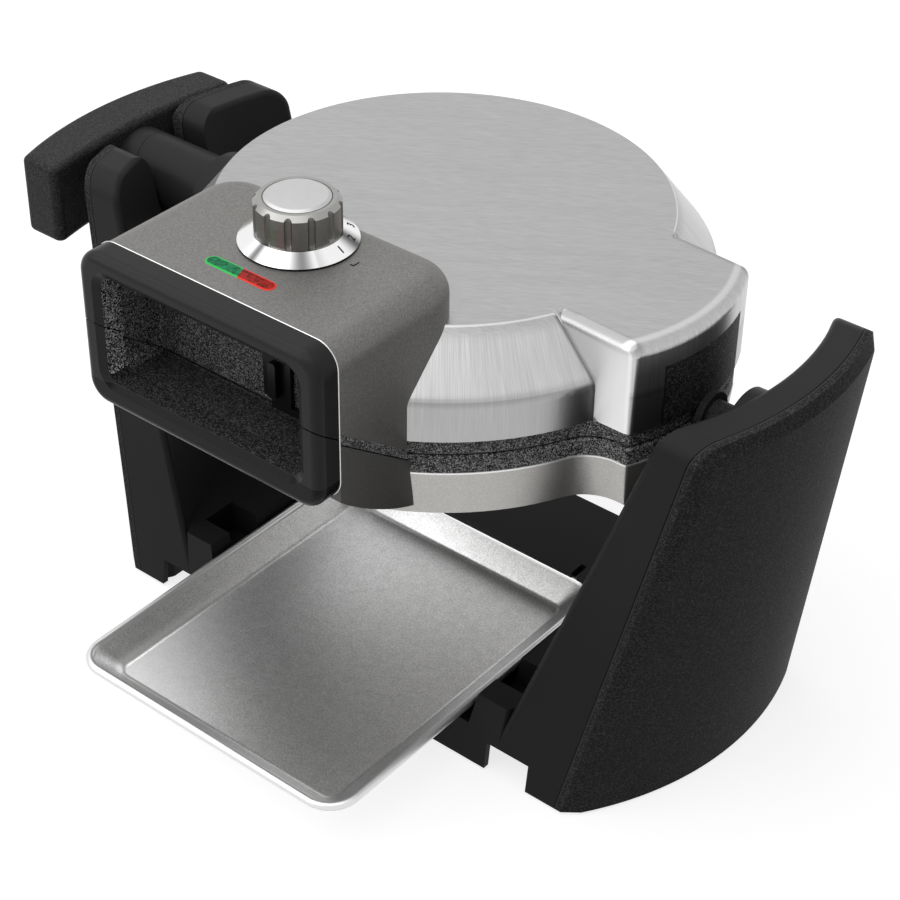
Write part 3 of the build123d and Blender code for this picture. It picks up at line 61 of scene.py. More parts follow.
class Out:
    """One output of a node, on which shader sums are written as plain arithmetic."""

    def __init__(self, nodes, socket):
        self.nodes = nodes
        self.socket = socket

    def maths(self, operation, *values):
        return self.nodes.node("ShaderNodeMath", {"operation": operation}, dict(enumerate(values)))

    def __add__(self, other):
        return self.maths("ADD", self, other)

    def __radd__(self, other):
        return self.maths("ADD", other, self)

    def __sub__(self, other):
        return self.maths("SUBTRACT", self, other)

    def __rsub__(self, other):
        return self.maths("SUBTRACT", other, self)

    def __mul__(self, other):
        return self.maths("MULTIPLY", self, other)

    def __rmul__(self, other):
        return self.maths("MULTIPLY", other, self)

    def __truediv__(self, other):
        return self.maths("DIVIDE", self, other)

    def __pow__(self, other):
        return self.maths("POWER", self, other)

    def __abs__(self):
        return self.maths("ABSOLUTE", self)

    def larger(self, other):
        return self.maths("MAXIMUM", self, other)

    def radius(self, y):
        """How far from the axis the place lies that has this output as its x."""
        return (self * self + y * y) ** 0.5

    def angle(self, y):
        """At what angle round the axis that place lies."""
        return self.maths("ARCTAN2", y, self)

    def above(self, level):
        return self.maths("GREATER_THAN", self, level)

    def below(self, level):
        return self.maths("LESS_THAN", self, level)

    def ramp(self, start, end):
        """Goes from 0 at start to 1 at end, and stays there."""
        return self.nodes.node(
            "ShaderNodeMapRange", {"interpolation_type": "SMOOTHSTEP"},
            {"Value": self, "From Min": start, "From Max": end},
        )


class Nodes:
    """A node tree, and the calls that add nodes to it."""

    def __init__(self, tree):
        self.tree = tree

    def join(self, socket, value):
        if isinstance(value, Out):
            self.tree.links.new(value.socket, socket)
        elif socket.type == "RGBA":
            socket.default_value = (*value, 1.0)
        else:
            socket.default_value = value

    def node(self, kind, settings, inputs, output=0):
        made = self.tree.nodes.new(kind)
        for name, value in settings.items():
            setattr(made, name, value)
        for name, value in inputs.items():
            self.join(made.inputs[name], value)
        return Out(self, made.outputs[output])

    def shown(self):
        """1 on the rays that show the backdrop: straight, off gloss or through glass."""
        seen, mirrored, through = (
            self.node("ShaderNodeLightPath", {}, {}, ray)
            for ray in ("Is Camera Ray", "Is Glossy Ray", "Is Transmission Ray")
        )
        return seen + mirrored + through

    def blend(self, amount, low, high):
        """Colour that goes from low to high as amount goes from 0 to 1."""
        return self.node("ShaderNodeMix", {"data_type": "RGBA"}, {0: amount, 6: low, 7: high}, 2)


class Finish(Nodes):
    """A procedural material, worked out from the places on a piece in metres."""

    def __init__(self, name):
        self.material = bpy.data.materials.new(name)
        self.material.use_nodes = True
        super().__init__(self.material.node_tree)
        self.shader = self.tree.nodes["Principled BSDF"]
        self.place = self.node("ShaderNodeTexCoord", {}, {}, "Object")

    def set(self, **values):
        for name, value in values.items():
            self.join(self.shader.inputs[name.replace("_", " ")], value)

    def gloss(self, level):
        self.shader.inputs["Specular IOR Level"].default_value = level

    def axes(self):
        """The object's own x, y and z."""
        split = self.node("ShaderNodeSeparateXYZ", {}, {0: self.place})
        return [Out(self, socket) for socket in split.socket.node.outputs]

    def vector(self, x, y, z):
        return self.node("ShaderNodeCombineXYZ", {}, {"X": x, "Y": y, "Z": z})

    def mapped(self, place, settings, **values):
        """A place turned or stretched, for a texture to be laid out on."""
        return self.node("ShaderNodeMapping", settings, {"Vector": place, **values})

    def noise(self, scale, detail=2.0, roughness=0.5, place=None):
        return self.node(
            "ShaderNodeTexNoise", {},
            {"Vector": place or self.place, "Scale": scale, "Detail": detail, "Roughness": roughness},
        )

    def grains(self, scale):
        """A different even shade for each grain of a texture."""
        cells = self.node("ShaderNodeTexVoronoi", {}, {"Vector": self.place, "Scale": scale}, "Color")
        return self.node("ShaderNodeSeparateColor", {}, {"Color": cells})

    def pebbles(self, scale):
        """The height of a pebbled skin."""
        return self.node("ShaderNodeTexVoronoi", {}, {"Vector": self.place, "Scale": scale})

    def bump(self, height, distance):
        return self.node("ShaderNodeBump", {}, {"Height": height, "Distance": distance})


def grey(level):
    return (level, level, level)


def clothe(finish, *nodes):
    """Puts one material on CAD nodes."""
    for name in nodes:
        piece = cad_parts[name]
        piece.data.materials.clear()
        piece.data.materials.append(finish.material)


bpy.ops.object.select_all(action="DESELECT")
bpy.ops.mesh.primitive_plane_add(size=table_size, location=(0, 0, 0))
table = bpy.context.active_object
table.name = "table_top"
paper = Finish("white_paper")
paper.set(
    Base_Color=grey(paper_tone),
    Roughness=1.0,
    Emission_Color=paper.blend(paper.shown(), grey(0.0), grey(paper_glow)),
    Emission_Strength=1.0,
)
paper.gloss(0.0)
table.data.materials.append(paper.material)

world = bpy.data.worlds.new("studio")
bpy.context.scene.world = world
world.use_nodes = True
sky = Nodes(world.node_tree)
sky.tree.nodes.remove(sky.tree.nodes["Background"])
fill = sky.node("ShaderNodeBackground", {}, {"Color": grey(1.0), "Strength": fill_strength})
backdrop = sky.node("ShaderNodeBackground", {}, {"Color": grey(1.0), "Strength": backdrop_strength})
surroundings = sky.node("ShaderNodeMixShader", {}, {0: sky.shown(), 1: fill, 2: backdrop})
sky.join(sky.tree.nodes["World Output"].inputs["Surface"], surroundings)

for name, place, size, power, aim in (
    ("lamp_above", (-0.3, -0.4, 1.7), (2.6, 2.0), 22.0, (0.0, 0.0, 0.1)),
    ("lamp_front", (-0.9, -1.3, 1.0), (1.2, 1.0), 6.5, (0.0, 0.0, 0.15)),
):
    lamp_data = bpy.data.lights.new(name, "AREA")
    lamp_data.shape = "RECTANGLE"
    lamp_data.size, lamp_data.size_y = size
    lamp_data.energy = power
    lamp = bpy.data.objects.new(name, lamp_data)
    bpy.context.collection.objects.link(lamp)
    lamp.location = place
    lamp.rotation_euler = (Vector(aim) - Vector(place)).to_track_quat("-Z", "Y").to_euler()
bpy.context.scene.view_settings.view_transform = "Standard"

# Base, tower frames and rotating shaft
# Injection moulded black plastic with a smooth satin skin. A dark joint shows where each
# tower's cover meets its frame, bowed outwards between the tower's front and back. Painted
# shade darkens the plastic towards the table.
joint_dark = 0.00028
joint_black = grey(0.001)
joint_knots = (
    # the joint's y and x at three places from front to back, each as its lean for each
    # metre of height and its value at the table
    ((0.12, -0.074), (0.1963, 0.1218)),
    ((0.0, 0.015), (0.1077, 0.1523)),
    ((0.0, 0.068), (0.1077, 0.1425)),
)
shade_start_z, shade_end_z = 0.150, 0.050
shade_share = 0.85


def past_joint(finish):
    """How far out a place lies from the joint between tower frame and cover."""
    x, y, z = finish.axes()
    knots = [[lean * z + low for lean, low in knot] for knot in joint_knots]
    joint_x = 0.0
    for knot_y, knot_x in knots:
        for other_y, _ in knots:
            if other_y is not knot_y:
                knot_x = knot_x * (y - other_y) / (knot_y - other_y)
        joint_x = joint_x + knot_x
    return abs(x) - joint_x


moulded = Finish("satin_black_moulding")
skin = moulded.noise(1500.0)
mottle = moulded.noise(25.0, 3.0)
in_joint = abs(past_joint(moulded)).below(joint_dark)
# painted shade: the plastic is painted darker towards the table
painted_shade_near_table = moulded.axes()[2].ramp(shade_start_z, shade_end_z) * shade_share
plain = moulded.blend(mottle, (0.0175, 0.0175, 0.0178), (0.0220, 0.0220, 0.0223))
shaded = moulded.blend(painted_shade_near_table, plain, (0.0080, 0.0080, 0.0082))
moulded.set(
    Base_Color=moulded.blend(in_joint, shaded, joint_black),
    Roughness=0.36 + 0.08 * skin,
    Normal=moulded.bump(skin, 0.00003),
)
moulded.gloss(0.09)
clothe(moulded, "stand_base", "tower_frame_left", "tower_frame_right", "axle_bush", "rotation_shaft")

# Tower covers
# Slabs of the same plastic with a fine pebbled skin, fixed from inside, with a painted
# highlight on the inner edge beside the joint.
painted_highlight_reach = 0.00085
pebbled = Finish("pebbled_black")
pebble = pebbled.pebbles(1500.0)
sparkle = pebbled.grains(2300.0).ramp(0.45, 1.0)
from_joint = past_joint(pebbled)
# painted highlight: a paler strip just outside the joint, where the bevel catches the light
painted_edge_highlight = from_joint.above(joint_dark) * from_joint.below(painted_highlight_reach)
cover_black = pebbled.blend(sparkle, grey(0.024), grey(0.070))
with_edge_highlight = pebbled.blend(painted_edge_highlight, cover_black, grey(0.050))
pebbled.set(
    Base_Color=pebbled.blend(abs(from_joint).below(joint_dark), with_edge_highlight, joint_black),
    Roughness=0.48,
    Normal=pebbled.bump(pebble, 0.00014),
)
pebbled.gloss(0.02)
clothe(pebbled, "tower_cover_left", "tower_cover_right")

# Rotating grip, cradle and axle
# The grip and the cradle are moulded in black plastic with a grained skin, and the axle is
# blackened steel. The grip is fixed to the end of the shaft.
grained = Finish("grained_black")
grain = grained.pebbles(1400.0)
dust = grained.grains(2300.0).ramp(0.4, 1.0)
grained.set(
    Base_Color=grained.blend(dust, grey(0.016), grey(0.050)),
    Roughness=0.50,
    Normal=grained.bump(grain, 0.00014),
)
grained.gloss(0.10)
clothe(grained, "cradle_liner", "grip_bar", "right_axle")

# Feet and cord gland
# Soft black rubber mouldings, the feet screwed under the base and the gland pressed into
# the back of the right tower.
rubber = Finish("black_rubber")
dull = rubber.noise(500.0)
rubber.set(
    Base_Color=rubber.blend(dull, grey(0.010), grey(0.016)),
    Roughness=0.7,
    Normal=rubber.bump(dull, 0.00005),
)
rubber.gloss(0.3)
clothe(rubber, "rubber_feet", "cord_gland")

# Frames of the head and the inside of the handle
# Castings and mouldings under a black paint with fine grey sparkle, painted darker as shade
# inside the handle and most of all low in the finger opening, but not on its lit left wall.
handle_back_y = -0.1080
handle_half = 0.0550
grip_floor_z = 0.1815
left_wall_x = -0.0478
shade_in_handle, shade_low_in_opening = 0.40, 0.36


def glitter(finish):
    """The sparkle of two sizes that one paint holds."""
    return finish.grains(2300.0).ramp(0.62, 1.0).larger(finish.grains(3600.0).ramp(0.75, 1.0))


speckled = Finish("speckled_black")
lump = speckled.pebbles(1500.0)
speckled_x, speckled_y, speckled_z = speckled.axes()
# painted shade inside the handle and low in the finger opening; the lit left wall keeps its tone
in_handle = speckled_y.below(handle_back_y) * abs(speckled_x).below(handle_half)
off_left_wall = 1.0 - speckled_x.below(left_wall_x)
low_in_opening = in_handle * speckled_z.below(grip_floor_z)
share_after_painted_shade = 1.0 - shade_in_handle * in_handle * off_left_wall - shade_low_in_opening * low_in_opening
speckled.set(
    Base_Color=speckled.blend(glitter(speckled) * share_after_painted_shade, grey(0.009), grey(0.48)),
    Roughness=0.5,
    Normal=speckled.bump(lump, 0.00018),
)
speckled.gloss(0.2)
clothe(speckled, "upper_frame", "lower_frame", "upper_handle_liner", "lower_handle_liner")

# Pivot block
# A cast block under the same kind of paint, let into the lid's boss, whose ends carry no
# sparkle.
block_grit_y, block_bare_y = 0.0246, 0.0252
block = Finish("pivot_block_black")
block_lump = block.pebbles(1700.0)
block_bare = abs(block.axes()[1]).ramp(block_grit_y, block_bare_y)
grit = block.grains(2600.0).ramp(0.55, 1.0) * (1.0 - block_bare)
block.set(
    Base_Color=block.blend(grit, grey(0.004), grey(0.120)),
    Roughness=0.5,
    Normal=block.bump(block_lump, 0.00014),
)
block.gloss(0.15)
clothe(block, "side_block")

# Lid
# Stainless steel sheet, pressed and then brushed: straight across the flat top, and from
# the top down over the cone and the wall. The press leaves a crease beside the boss. Painted
# light, highlights and shade lie over the steel's tones on the boss, the edges and the crease.
brush_turn = 0.553
brush_fine, brush_wide = (130.0, 3600.0, 900.0), (9.0, 160.0, 60.0)
# scratches down the side, as stretched round the axis and down
round_fine, down_fine = 240.0, 45.0
round_wide, down_wide = 45.0, 12.0
wall_top_z = 0.1925
bend_reach = 0.0030
flat_start_z, flat_full_z = 0.2095, 0.2150
lid_top_z = 0.21525
disc_r = 0.0955
boss_start_x = 0.078
boss_side_y, boss_clear_y = 0.03955, 0.0400
shoulder_start_y, shoulder_full_y = 0.0335, 0.0365
shoulder_fade_y, shoulder_end_y = 0.0378, 0.0392
flank_start_y, flank_full_y, flank_full_x = 0.0389, 0.0394, 0.098
crown_x = 0.0460
brow_r, brow_start_x = 0.0822, 0.100
brow_bright, brow_fade = 0.0005, 0.0022
rounding_bright, rounding_fade = 0.0001, 0.0005
crease_end_y, crease_start_x, crease_top_z = 0.0414, 0.075, 0.2145

steel = Finish("brushed_lid_steel")
lid_x, lid_y, lid_z = steel.axes()
side_y = abs(lid_y)
turned = steel.mapped(steel.place, {"vector_type": "TEXTURE"}, Rotation=(0.0, 0.0, brush_turn))
along = steel.noise(1.0, 3.0, 0.6, steel.mapped(turned, {}, Scale=brush_fine))
along_wide = steel.noise(1.0, 3.0, 0.6, steel.mapped(turned, {}, Scale=brush_wide))
lid_angle = lid_x.angle(lid_y)
side = steel.noise(1.0, 3.0, 0.6, steel.vector(lid_angle * round_fine, lid_z * down_fine, 0.0))
side_wide = steel.noise(1.0, 2.0, 0.5, steel.vector(lid_angle * round_wide, lid_z * down_wide, 0.0))
flat = lid_z.ramp(flat_start_z, flat_full_z)
scratch = flat * along + (1.0 - flat) * side
scratch_wide = flat * along_wide + (1.0 - flat) * side_wide
brushing = (0.80 * scratch + 0.20 * scratch_wide).ramp(0.32, 0.68)

# the sheet's tones, partly from its brushing and partly painted light and shade: the cone
# lighter and the flat top and the wall darker, with painted shade at the bend between wall and cone
painted_shade_bend = 1.0 - abs(lid_z - wall_top_z).ramp(0.0, bend_reach)
cone = steel.blend(brushing, grey(0.46), grey(0.60))
wall = steel.blend(0.55 * lid_z.below(wall_top_z), cone, grey(0.30))
flat_top = steel.blend(brushing, grey(0.37), grey(0.47))
sheet = steel.blend(flat, steel.blend(0.35 * painted_shade_bend, wall, grey(0.20)), flat_top)

# the boss: painted shade on the rounded shoulder each side, painted light on its flanks and
# a painted highlight along the brow round its front
past_disc = lid_x.radius(lid_y).above(disc_r) * lid_x.above(boss_start_x)
shoulder_end = 1.0 - side_y.ramp(shoulder_fade_y, shoulder_end_y)
painted_shade_shoulder = side_y.ramp(shoulder_start_y, shoulder_full_y) * shoulder_end * past_disc * flat
on_flank = side_y.ramp(flank_start_y, flank_full_y) * side_y.below(boss_side_y)
painted_light_flank = on_flank * lid_x.ramp(boss_start_x, flank_full_x)
from_brow = abs((lid_x - crown_x).radius(lid_y) - brow_r)
painted_highlight_brow = (1.0 - from_brow.ramp(brow_bright, brow_fade)) * lid_x.above(brow_start_x)
boss = steel.blend(painted_light_flank.larger(0.45 * painted_highlight_brow), steel.blend(painted_shade_shoulder, sheet, grey(0.25)), grey(0.78))

# a painted highlight along the rounded edge of the flat top, and painted shade in the crease
# beside the boss
off_boss = 1.0 - lid_x.above(boss_start_x) * side_y.below(boss_clear_y)
painted_highlight_rim = (1.0 - abs(lid_z - lid_top_z).ramp(rounding_bright, rounding_fade)) * off_boss
beside_boss = side_y.above(boss_side_y) * (1.0 - side_y.ramp(boss_side_y, crease_end_y))
painted_shade_crease = beside_boss * lid_x.above(crease_start_x) * lid_z.below(crease_top_z)
steel.set(
    Base_Color=steel.blend(0.75 * painted_shade_crease, steel.blend(0.6 * painted_highlight_rim, boss, grey(0.85)), grey(0.06)),
    Metallic=1.0,
    Roughness=0.25 + 0.10 * scratch,
    Normal=steel.bump(scratch, 0.000010),
)
clothe(steel, "lid_cover")

# Lower casing
# A spun and pressed bowl under satin metallic lacquer, screwed up to the lower frame, and
# much paler along its top edge.
casing_rim_z = 0.15830
casing = Finish("satin_grey_casing")
flake = casing.noise(2600.0, 1.0)
lacquer = casing.blend(flake.ramp(0.3, 0.7), (0.42, 0.41, 0.395), (0.55, 0.54, 0.52))
casing.set(
    Base_Color=casing.blend(casing.axes()[2].above(casing_rim_z), lacquer, grey(0.90)),
    Metallic=0.8,
    Roughness=0.38,
    Normal=casing.bump(flake, 0.000008),
)
clothe(casing, "lower_housing")

# Handle shells
# Two mouldings under bronze grey metallic paint with a fine flake, the lower one painted in
# darker tones as shade. Painted shade also darkens them down their sides.
side_start_z, side_end_z = 0.218, 0.185
painted_shade_bronze = (0.062, 0.060, 0.057)
for shell, dark_bronze, pale_bronze in (
    ("upper_handle_shell", (0.130, 0.127, 0.121), (0.240, 0.235, 0.226)),
    # the lower shell's darker tones are painted shade
    ("lower_handle_shell", (0.075, 0.073, 0.070), (0.140, 0.137, 0.131)),
):
    bronze = Finish(shell + "_bronze")
    flecks = 0.5 * bronze.grains(3000.0) + 0.5 * bronze.noise(1400.0).ramp(0.3, 0.7)
    painted_shade_down_side = 0.45 * bronze.axes()[2].ramp(side_start_z, side_end_z)
    bronze.set(
        Base_Color=bronze.blend(painted_shade_down_side, bronze.blend(flecks, dark_bronze, pale_bronze), painted_shade_bronze),
        Metallic=0.45,
        Roughness=0.44,
    )
    clothe(bronze, shell)

# Highlight bead between shell and bezel
# A thin polished bead round the handle's front, put there as a painted highlight along the
# shell's front edge, made in two lengths that part where the handle does.
highlight_bead_half = 0.061
highlight_bead_low, highlight_bead_high = 0.1676, 0.2360
highlight_bead_corner_r = 0.010
highlight_bead_y = -0.1343
highlight_bead_r = 0.00030
highlight_bead_split_z = 0.1965
same_place = 1e-6
# the bead's metal, which stands in for the highlight on the shell's front edge
highlight_bead_metal = Finish("painted_highlight_bead")
scuff = highlight_bead_metal.noise(300.0)
highlight_bead_metal.set(Base_Color=highlight_bead_metal.blend(scuff, grey(0.60), grey(0.68)), Metallic=1.0, Roughness=0.26)


def select_edges(piece, chosen):
    """Selects, in edit mode, only the edges of which both ends pass a test."""
    bpy.ops.object.mode_set(mode="EDIT")
    bpy.ops.mesh.select_all(action="DESELECT")
    bpy.ops.object.mode_set(mode="OBJECT")
    for edge in piece.data.edges:
        edge.select = all(chosen(piece.data.vertices[i].co) for i in edge.vertices)
    bpy.ops.object.mode_set(mode="EDIT")
    bpy.ops.mesh.select_mode(type="EDGE")


def add_highlight_bead(name, upper, rides_on):
    bpy.ops.object.select_all(action="DESELECT")
    middle = (0, highlight_bead_y, (highlight_bead_low + highlight_bead_high) / 2)
    bpy.ops.mesh.primitive_plane_add(size=1.0, location=middle, rotation=(pi / 2, 0, 0))
    bead = bpy.context.active_object
    bead.name = name
    bead.scale = (2 * highlight_bead_half, highlight_bead_high - highlight_bead_low, 1.0)
    bpy.ops.object.transform_apply(location=True, rotation=True, scale=True)
    bpy.ops.object.mode_set(mode="EDIT")
    bpy.ops.mesh.select_all(action="SELECT")
    bpy.ops.mesh.bevel(offset=highlight_bead_corner_r, segments=12, affect="VERTICES")
    bpy.ops.mesh.select_all(action="SELECT")
    bpy.ops.mesh.bisect(
        plane_co=(0, highlight_bead_y, highlight_bead_split_z), plane_no=(0, 0, 1), clear_inner=upper, clear_outer=not upper
    )
    bpy.ops.mesh.select_all(action="SELECT")
    bpy.ops.mesh.delete(type="ONLY_FACE")
    select_edges(bead, lambda end: abs(end.z - highlight_bead_split_z) < same_place)
    bpy.ops.mesh.delete(type="EDGE")
    bpy.ops.object.mode_set(mode="OBJECT")
    bpy.ops.object.convert(target="CURVE")
    bead = bpy.context.active_object
    bead.data.bevel_depth = highlight_bead_r
    bead.data.bevel_resolution = 2
    bead.data.use_fill_caps = True
    bpy.ops.object.convert(target="MESH")
    bead = bpy.context.active_object
    bpy.ops.object.shade_smooth()
    bead.data.materials.clear()
    bead.data.materials.append(highlight_bead_metal.material)
    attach(bead, rides_on)


add_highlight_bead("upper_highlight_bead", True, "lid")
add_highlight_bead("lower_highlight_bead", False, "head")

# Handle bezels
# Semi gloss black mouldings with rounded edges, clipped on from the front. Inside the
# finger opening they carry the same sparkling paint as the liner behind them. Below the
# opening they are painted darker as shade, and the lining is painted darker at the opening's floor.
opening_half = 0.0507
opening_low, opening_high = 0.1788, 0.2272
lip_back_y = -0.1438
ebony = Finish("semi_gloss_black")
bezel_x, bezel_y, bezel_z = ebony.axes()
waver = ebony.noise(700.0)
within = abs(bezel_x).below(opening_half) * bezel_z.above(opening_low) * bezel_z.below(opening_high)
lined = within * bezel_y.above(lip_back_y)
# painted shade: the lining is darker at the floor of the opening, and the bezel below it
share_after_floor_shade = 1.0 - 0.9 * bezel_z.below(grip_floor_z)
lining = ebony.blend(glitter(ebony) * share_after_floor_shade, grey(0.010), grey(0.95))
upper_skin = ebony.blend(waver, grey(0.024), grey(0.031))
painted_shade_skin = ebony.blend(waver, grey(0.006), grey(0.009))
ebony.set(
    Base_Color=ebony.blend(lined, ebony.blend(bezel_z.below(opening_low), upper_skin, painted_shade_skin), lining),
    Roughness=0.22 + 0.05 * waver + 0.25 * lined,
    Normal=ebony.bump(waver, 0.00002),
)
ebony.gloss(0.09)
clothe(ebony, "upper_bezel", "lower_bezel")

# Lock and keeper
# A moulded slide on the wall of the finger opening, and the blackened steel clip that its
# tongue enters.
lock_black = Finish("lock_black")
rub = lock_black.noise(700.0)
lock_black.set(Base_Color=lock_black.blend(rub, grey(0.004), grey(0.007)), Roughness=0.3)
lock_black.gloss(0.2)
clothe(lock_black, "lock_slide", "lock_keeper")

# Dial
# A fluted knob in grey brown metal with a cut bevel and a satin cap, pressed on a
# polished skirt whose turned face carries painted light and dark bands of reflection, and
# whose foot is painted dark as shade where it meets the handle.
dial_y = -0.0875
bevel_low_z = 0.25290
groove_r = 0.0134
skirt_foot_z = 0.2369
band_angles = (
    # middle and half width of each painted dark reflection band, in radians round the dial
    (-1.69, 0.24), (-0.77, 0.50), (0.45, 0.36), (1.50, 0.30), (2.60, 0.40),
)
knob = Finish("knob_grey_brown")
knob_x, knob_y, knob_z = knob.axes()
knob_reach = knob_x.radius(knob_y - dial_y)
brown = knob.blend(knob.noise(600.0), (0.205, 0.198, 0.188), (0.275, 0.266, 0.252))
bevelled = knob.blend(knob_z.above(bevel_low_z) * knob_reach.above(groove_r), brown, (0.34, 0.335, 0.325))
knob.set(
    Base_Color=knob.blend(knob_reach.below(groove_r), bevelled, grey(0.03)),
    Metallic=0.85,
    Roughness=0.34,
)
clothe(knob, "dial_knob")
satin = Finish("satin_cap")
veil = satin.noise(300.0, 3.0)
satin.set(Base_Color=satin.blend(veil, grey(0.52), grey(0.57)), Metallic=0.6, Roughness=0.36 + 0.05 * veil)
clothe(satin, "dial_cap")
chrome = Finish("polished_skirt")
chrome_x, chrome_y, chrome_z = chrome.axes()
round_dial = chrome_x.angle(chrome_y - dial_y)
painted_reflection = 1.0
for band, half in band_angles:
    painted_reflection = painted_reflection * abs(round_dial - band).ramp(0.0, half)
# painted reflection bands round the skirt, and painted shade on its foot
chrome.set(
    Base_Color=chrome.blend(
        chrome_z.below(skirt_foot_z), chrome.blend(painted_reflection, grey(0.12), grey(0.88)), grey(0.02)
    ),
    Metallic=1.0,
    Roughness=0.16,
)
clothe(chrome, "dial_skirt")

# Numbers round the dial
# Printed on the sloping skirt in black, with their feet outwards.
number_count = 6
number_h = 0.0050
number_t = 0.00003
number_r = 0.02060
number_z = 0.23890
number_lift = 0.00006
first_angle = 0.05
number_step = 0.4712
skirt_slope = 0.5957
print_black = Finish("print_black")
ink = print_black.noise(900.0)
print_black.set(Base_Color=print_black.blend(ink, grey(0.003), grey(0.006)), Roughness=0.5)
print_black.gloss(0.1)
digits = []
for count in range(number_count):
    bpy.ops.object.select_all(action="DESELECT")
    bpy.ops.object.text_add()
    digit = bpy.context.active_object
    digit.data.body = str(count + 1)
    digit.data.size = number_h
    digit.data.align_x = "CENTER"
    digit.data.align_y = "CENTER"
    digit.data.extrude = number_t
    bpy.ops.object.convert(target="MESH")
    digit = bpy.context.active_object
    at = first_angle + count * number_step
    outward = Vector((cos(at), sin(at), 0.0))
    off_skirt = outward * sin(skirt_slope) + Vector((0, 0, cos(skirt_slope)))
    digit_up = Vector((0, 0, sin(skirt_slope))) - outward * cos(skirt_slope)
    turn = Matrix((digit_up.cross(off_skirt), digit_up, off_skirt)).transposed().to_4x4()
    centre = outward * number_r + Vector((0, dial_y, number_z)) + off_skirt * number_lift
    digit.matrix_world = Matrix.Translation(centre) @ turn
    bpy.ops.object.transform_apply(location=True, rotation=True, scale=True)
    digits.append(digit)
bpy.ops.object.select_all(action="DESELECT")
for digit in digits:
    digit.select_set(True)
bpy.context.view_layer.objects.active = digits[0]
bpy.ops.object.join()
numbers = bpy.context.active_object
numbers.name = "dial_numbers"
numbers.data.materials.clear()
numbers.data.materials.append(print_black.material)
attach(numbers, "dial")

# Index mark
# A small printed corner on the handle, which the numbers turn past.
mark_w = 0.00060
mark_corner = (0.0285, -0.0886, 0.23602)
mark_legs = ((0.0, 0.0030), (-0.0013, 0.0))
mark_t = 0.00006
bpy.ops.object.select_all(action="DESELECT")
bpy.ops.mesh.primitive_plane_add(size=mark_w, location=mark_corner)
mark = bpy.context.active_object
mark.name = "index_mark"
bpy.ops.object.transform_apply(location=True, rotation=True, scale=True)
corner = Vector(mark_corner)
for leg_x, leg_y in mark_legs:
    leg = Vector((leg_x, leg_y, 0.0))
    way = leg.normalized()
    across = Vector((way.y, way.x, 0.0))
    select_edges(mark, lambda end: (
        abs((end - corner).dot(way) - mark_w / 2) < same_place
        and abs((end - corner).dot(across)) < 0.51 * mark_w
    ))
    bpy.ops.mesh.extrude_region_move(TRANSFORM_OT_translate={"value": leg})
bpy.ops.mesh.select_all(action="SELECT")
bpy.ops.mesh.extrude_region_move(TRANSFORM_OT_translate={"value": (0.0, 0.0, mark_t)})
bpy.ops.mesh.select_all(action="SELECT")
bpy.ops.mesh.normals_make_consistent(inside=False)
bpy.ops.object.mode_set(mode="OBJECT")
mark.data.materials.append(print_black.material)
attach(mark, "lid")

# Lamps
# Green and red windows of clear plastic with a ribbed underside and a bright rim, snapped
# into the handle and lit from below by their light pipes.
lens_y = -0.1195
lens_straight = 0.0138
lens_rim_start, lens_rim_full = 0.0023, 0.0027
for name, piece, dark_lens, pale_lens, lens_rim in (
    ("green_window", "green_lens", (0.001, 0.06, 0.022), (0.010, 0.26, 0.10), (0.04, 0.55, 0.10)),
    ("red_window", "red_lens", (0.10, 0.005, 0.003), (0.40, 0.020, 0.014), (0.80, 0.04, 0.02)),
):
    window = Finish(name)
    window_x, window_y, _ = window.axes()
    past_end = (abs(window_x) - lens_straight).larger(0.0)
    from_line = past_end.radius(window_y - lens_y)
    prisms = window.blend(window.grains(1100.0), dark_lens, pale_lens)
    glow = window.blend(from_line.ramp(lens_rim_start, lens_rim_full), prisms, lens_rim)
    window.set(Base_Color=glow, Roughness=0.4, Emission_Color=glow, Emission_Strength=0.12)
    window.gloss(0.12)
    clothe(window, piece)

# Drip tray
# Drawn from satin aluminium sheet with a rolled bead round its rim. Its floor carries a
# painted highlight towards the front left.
bead_low_z = 0.0300
floor_top_z, wall_low_z = 0.0226, 0.0252
glare_start, glare_full = -0.100, -0.175
tray = Finish("satin_tray")
mottled = tray.noise(1500.0)
satin_spread = 0.8 * mottled.ramp(0.3, 0.7) + 0.2 * tray.noise(220.0, 3.0).ramp(0.3, 0.7)
tray_x, tray_y, tray_z = tray.axes()
rolled = tray_z.above(bead_low_z)
over_floor = tray_x + 0.8 * tray_y
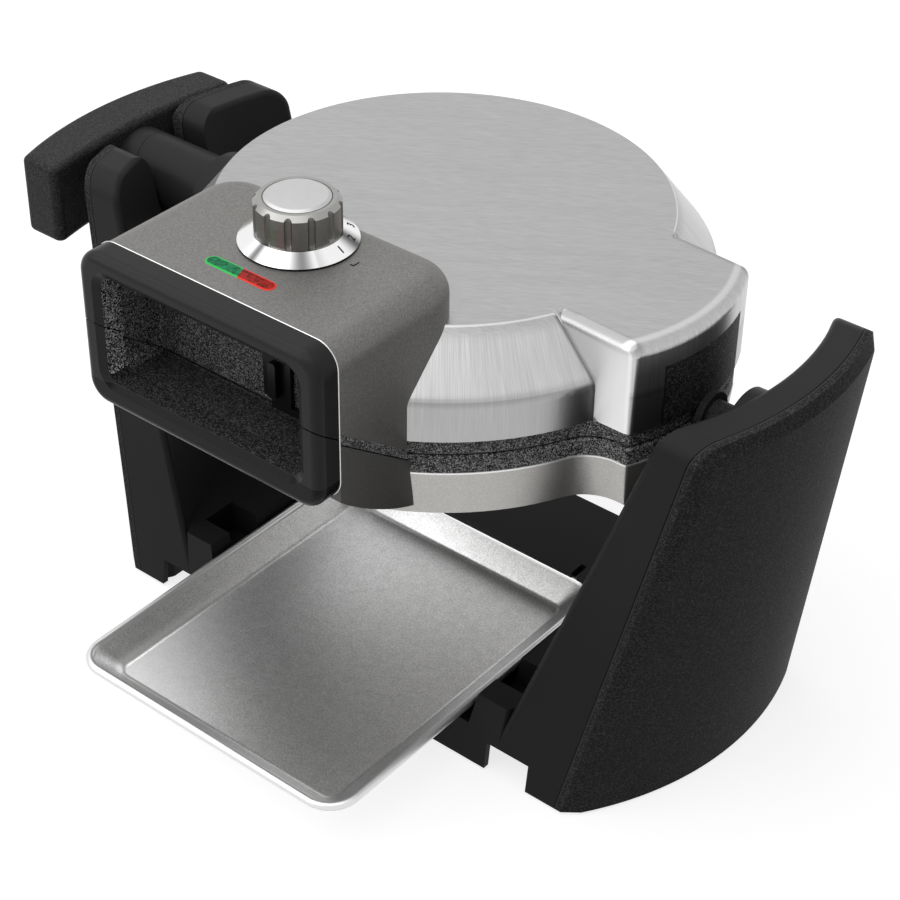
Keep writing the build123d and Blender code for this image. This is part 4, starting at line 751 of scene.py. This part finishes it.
# painted highlight: the floor is painted brighter towards the front left
painted_glare = over_floor.ramp(glare_start, glare_full) * tray_z.ramp(wall_low_z, floor_top_z)
drawn = tray.blend(satin_spread, grey(0.52), grey(0.80))
painted_glare_tone = tray.blend(satin_spread, grey(0.88), grey(1.0))
tray.set(
    Base_Color=tray.blend(rolled, tray.blend(painted_glare, drawn, painted_glare_tone), grey(0.72)),
    Metallic=1.0,
    Roughness=0.36,
    Normal=tray.bump(mottled * (1.0 - rolled), 0.00002),
)
clothe(tray, "drip_tray")

# Hinge, heaters, screws and spindle
# Plain steel: bent and punched hinge plates on a turned pin, tubular heaters, screws, and
# the spindle that the dial turns.
works = Finish("plain_steel")
stain = works.noise(250.0)
works.set(Base_Color=works.blend(stain, grey(0.42), grey(0.52)), Metallic=1.0, Roughness=0.3 + 0.1 * stain)
clothe(works, "upper_heater", "lower_heater", "stand_screws", "dial_spindle")
clothe(works, "upper_hinge_bracket", "lower_hinge_bracket", "hinge_pin")

# Waffle plates
# Cast aluminium with a baked non-stick coat, clipped into the frames.
coated = Finish("coated_plate")
orange_peel = coated.noise(600.0, 3.0)
coated.set(
    Base_Color=coated.blend(orange_peel, (0.020, 0.020, 0.021), (0.036, 0.036, 0.037)),
    Roughness=0.35 + 0.1 * orange_peel,
    Normal=coated.bump(orange_peel, 0.00008),
)
clothe(coated, "upper_plate", "lower_plate")

# Controls inside the handle
# A ceramic thermostat, a green circuit board and the clear light pipes that stand on it
# under the lamps' windows.
ceramic = Finish("ceramic_switch")
chalk = ceramic.noise(300.0, 3.0)
ceramic.set(Base_Color=ceramic.blend(chalk, (0.66, 0.64, 0.58), (0.74, 0.72, 0.66)), Roughness=0.6)
clothe(ceramic, "thermostat")
laminate = Finish("circuit_board")
varnish = laminate.noise(150.0, 3.0)
laminate.set(Base_Color=laminate.blend(varnish, (0.03, 0.14, 0.06), (0.05, 0.20, 0.09)), Roughness=0.4)
clothe(laminate, "control_board")
pipe = Finish("clear_light_pipe")
haze = pipe.noise(200.0)
pipe.set(Base_Color=pipe.blend(haze, (0.70, 0.74, 0.72), (0.80, 0.84, 0.82)), Roughness=0.2)
clothe(pipe, "indicator_leds")
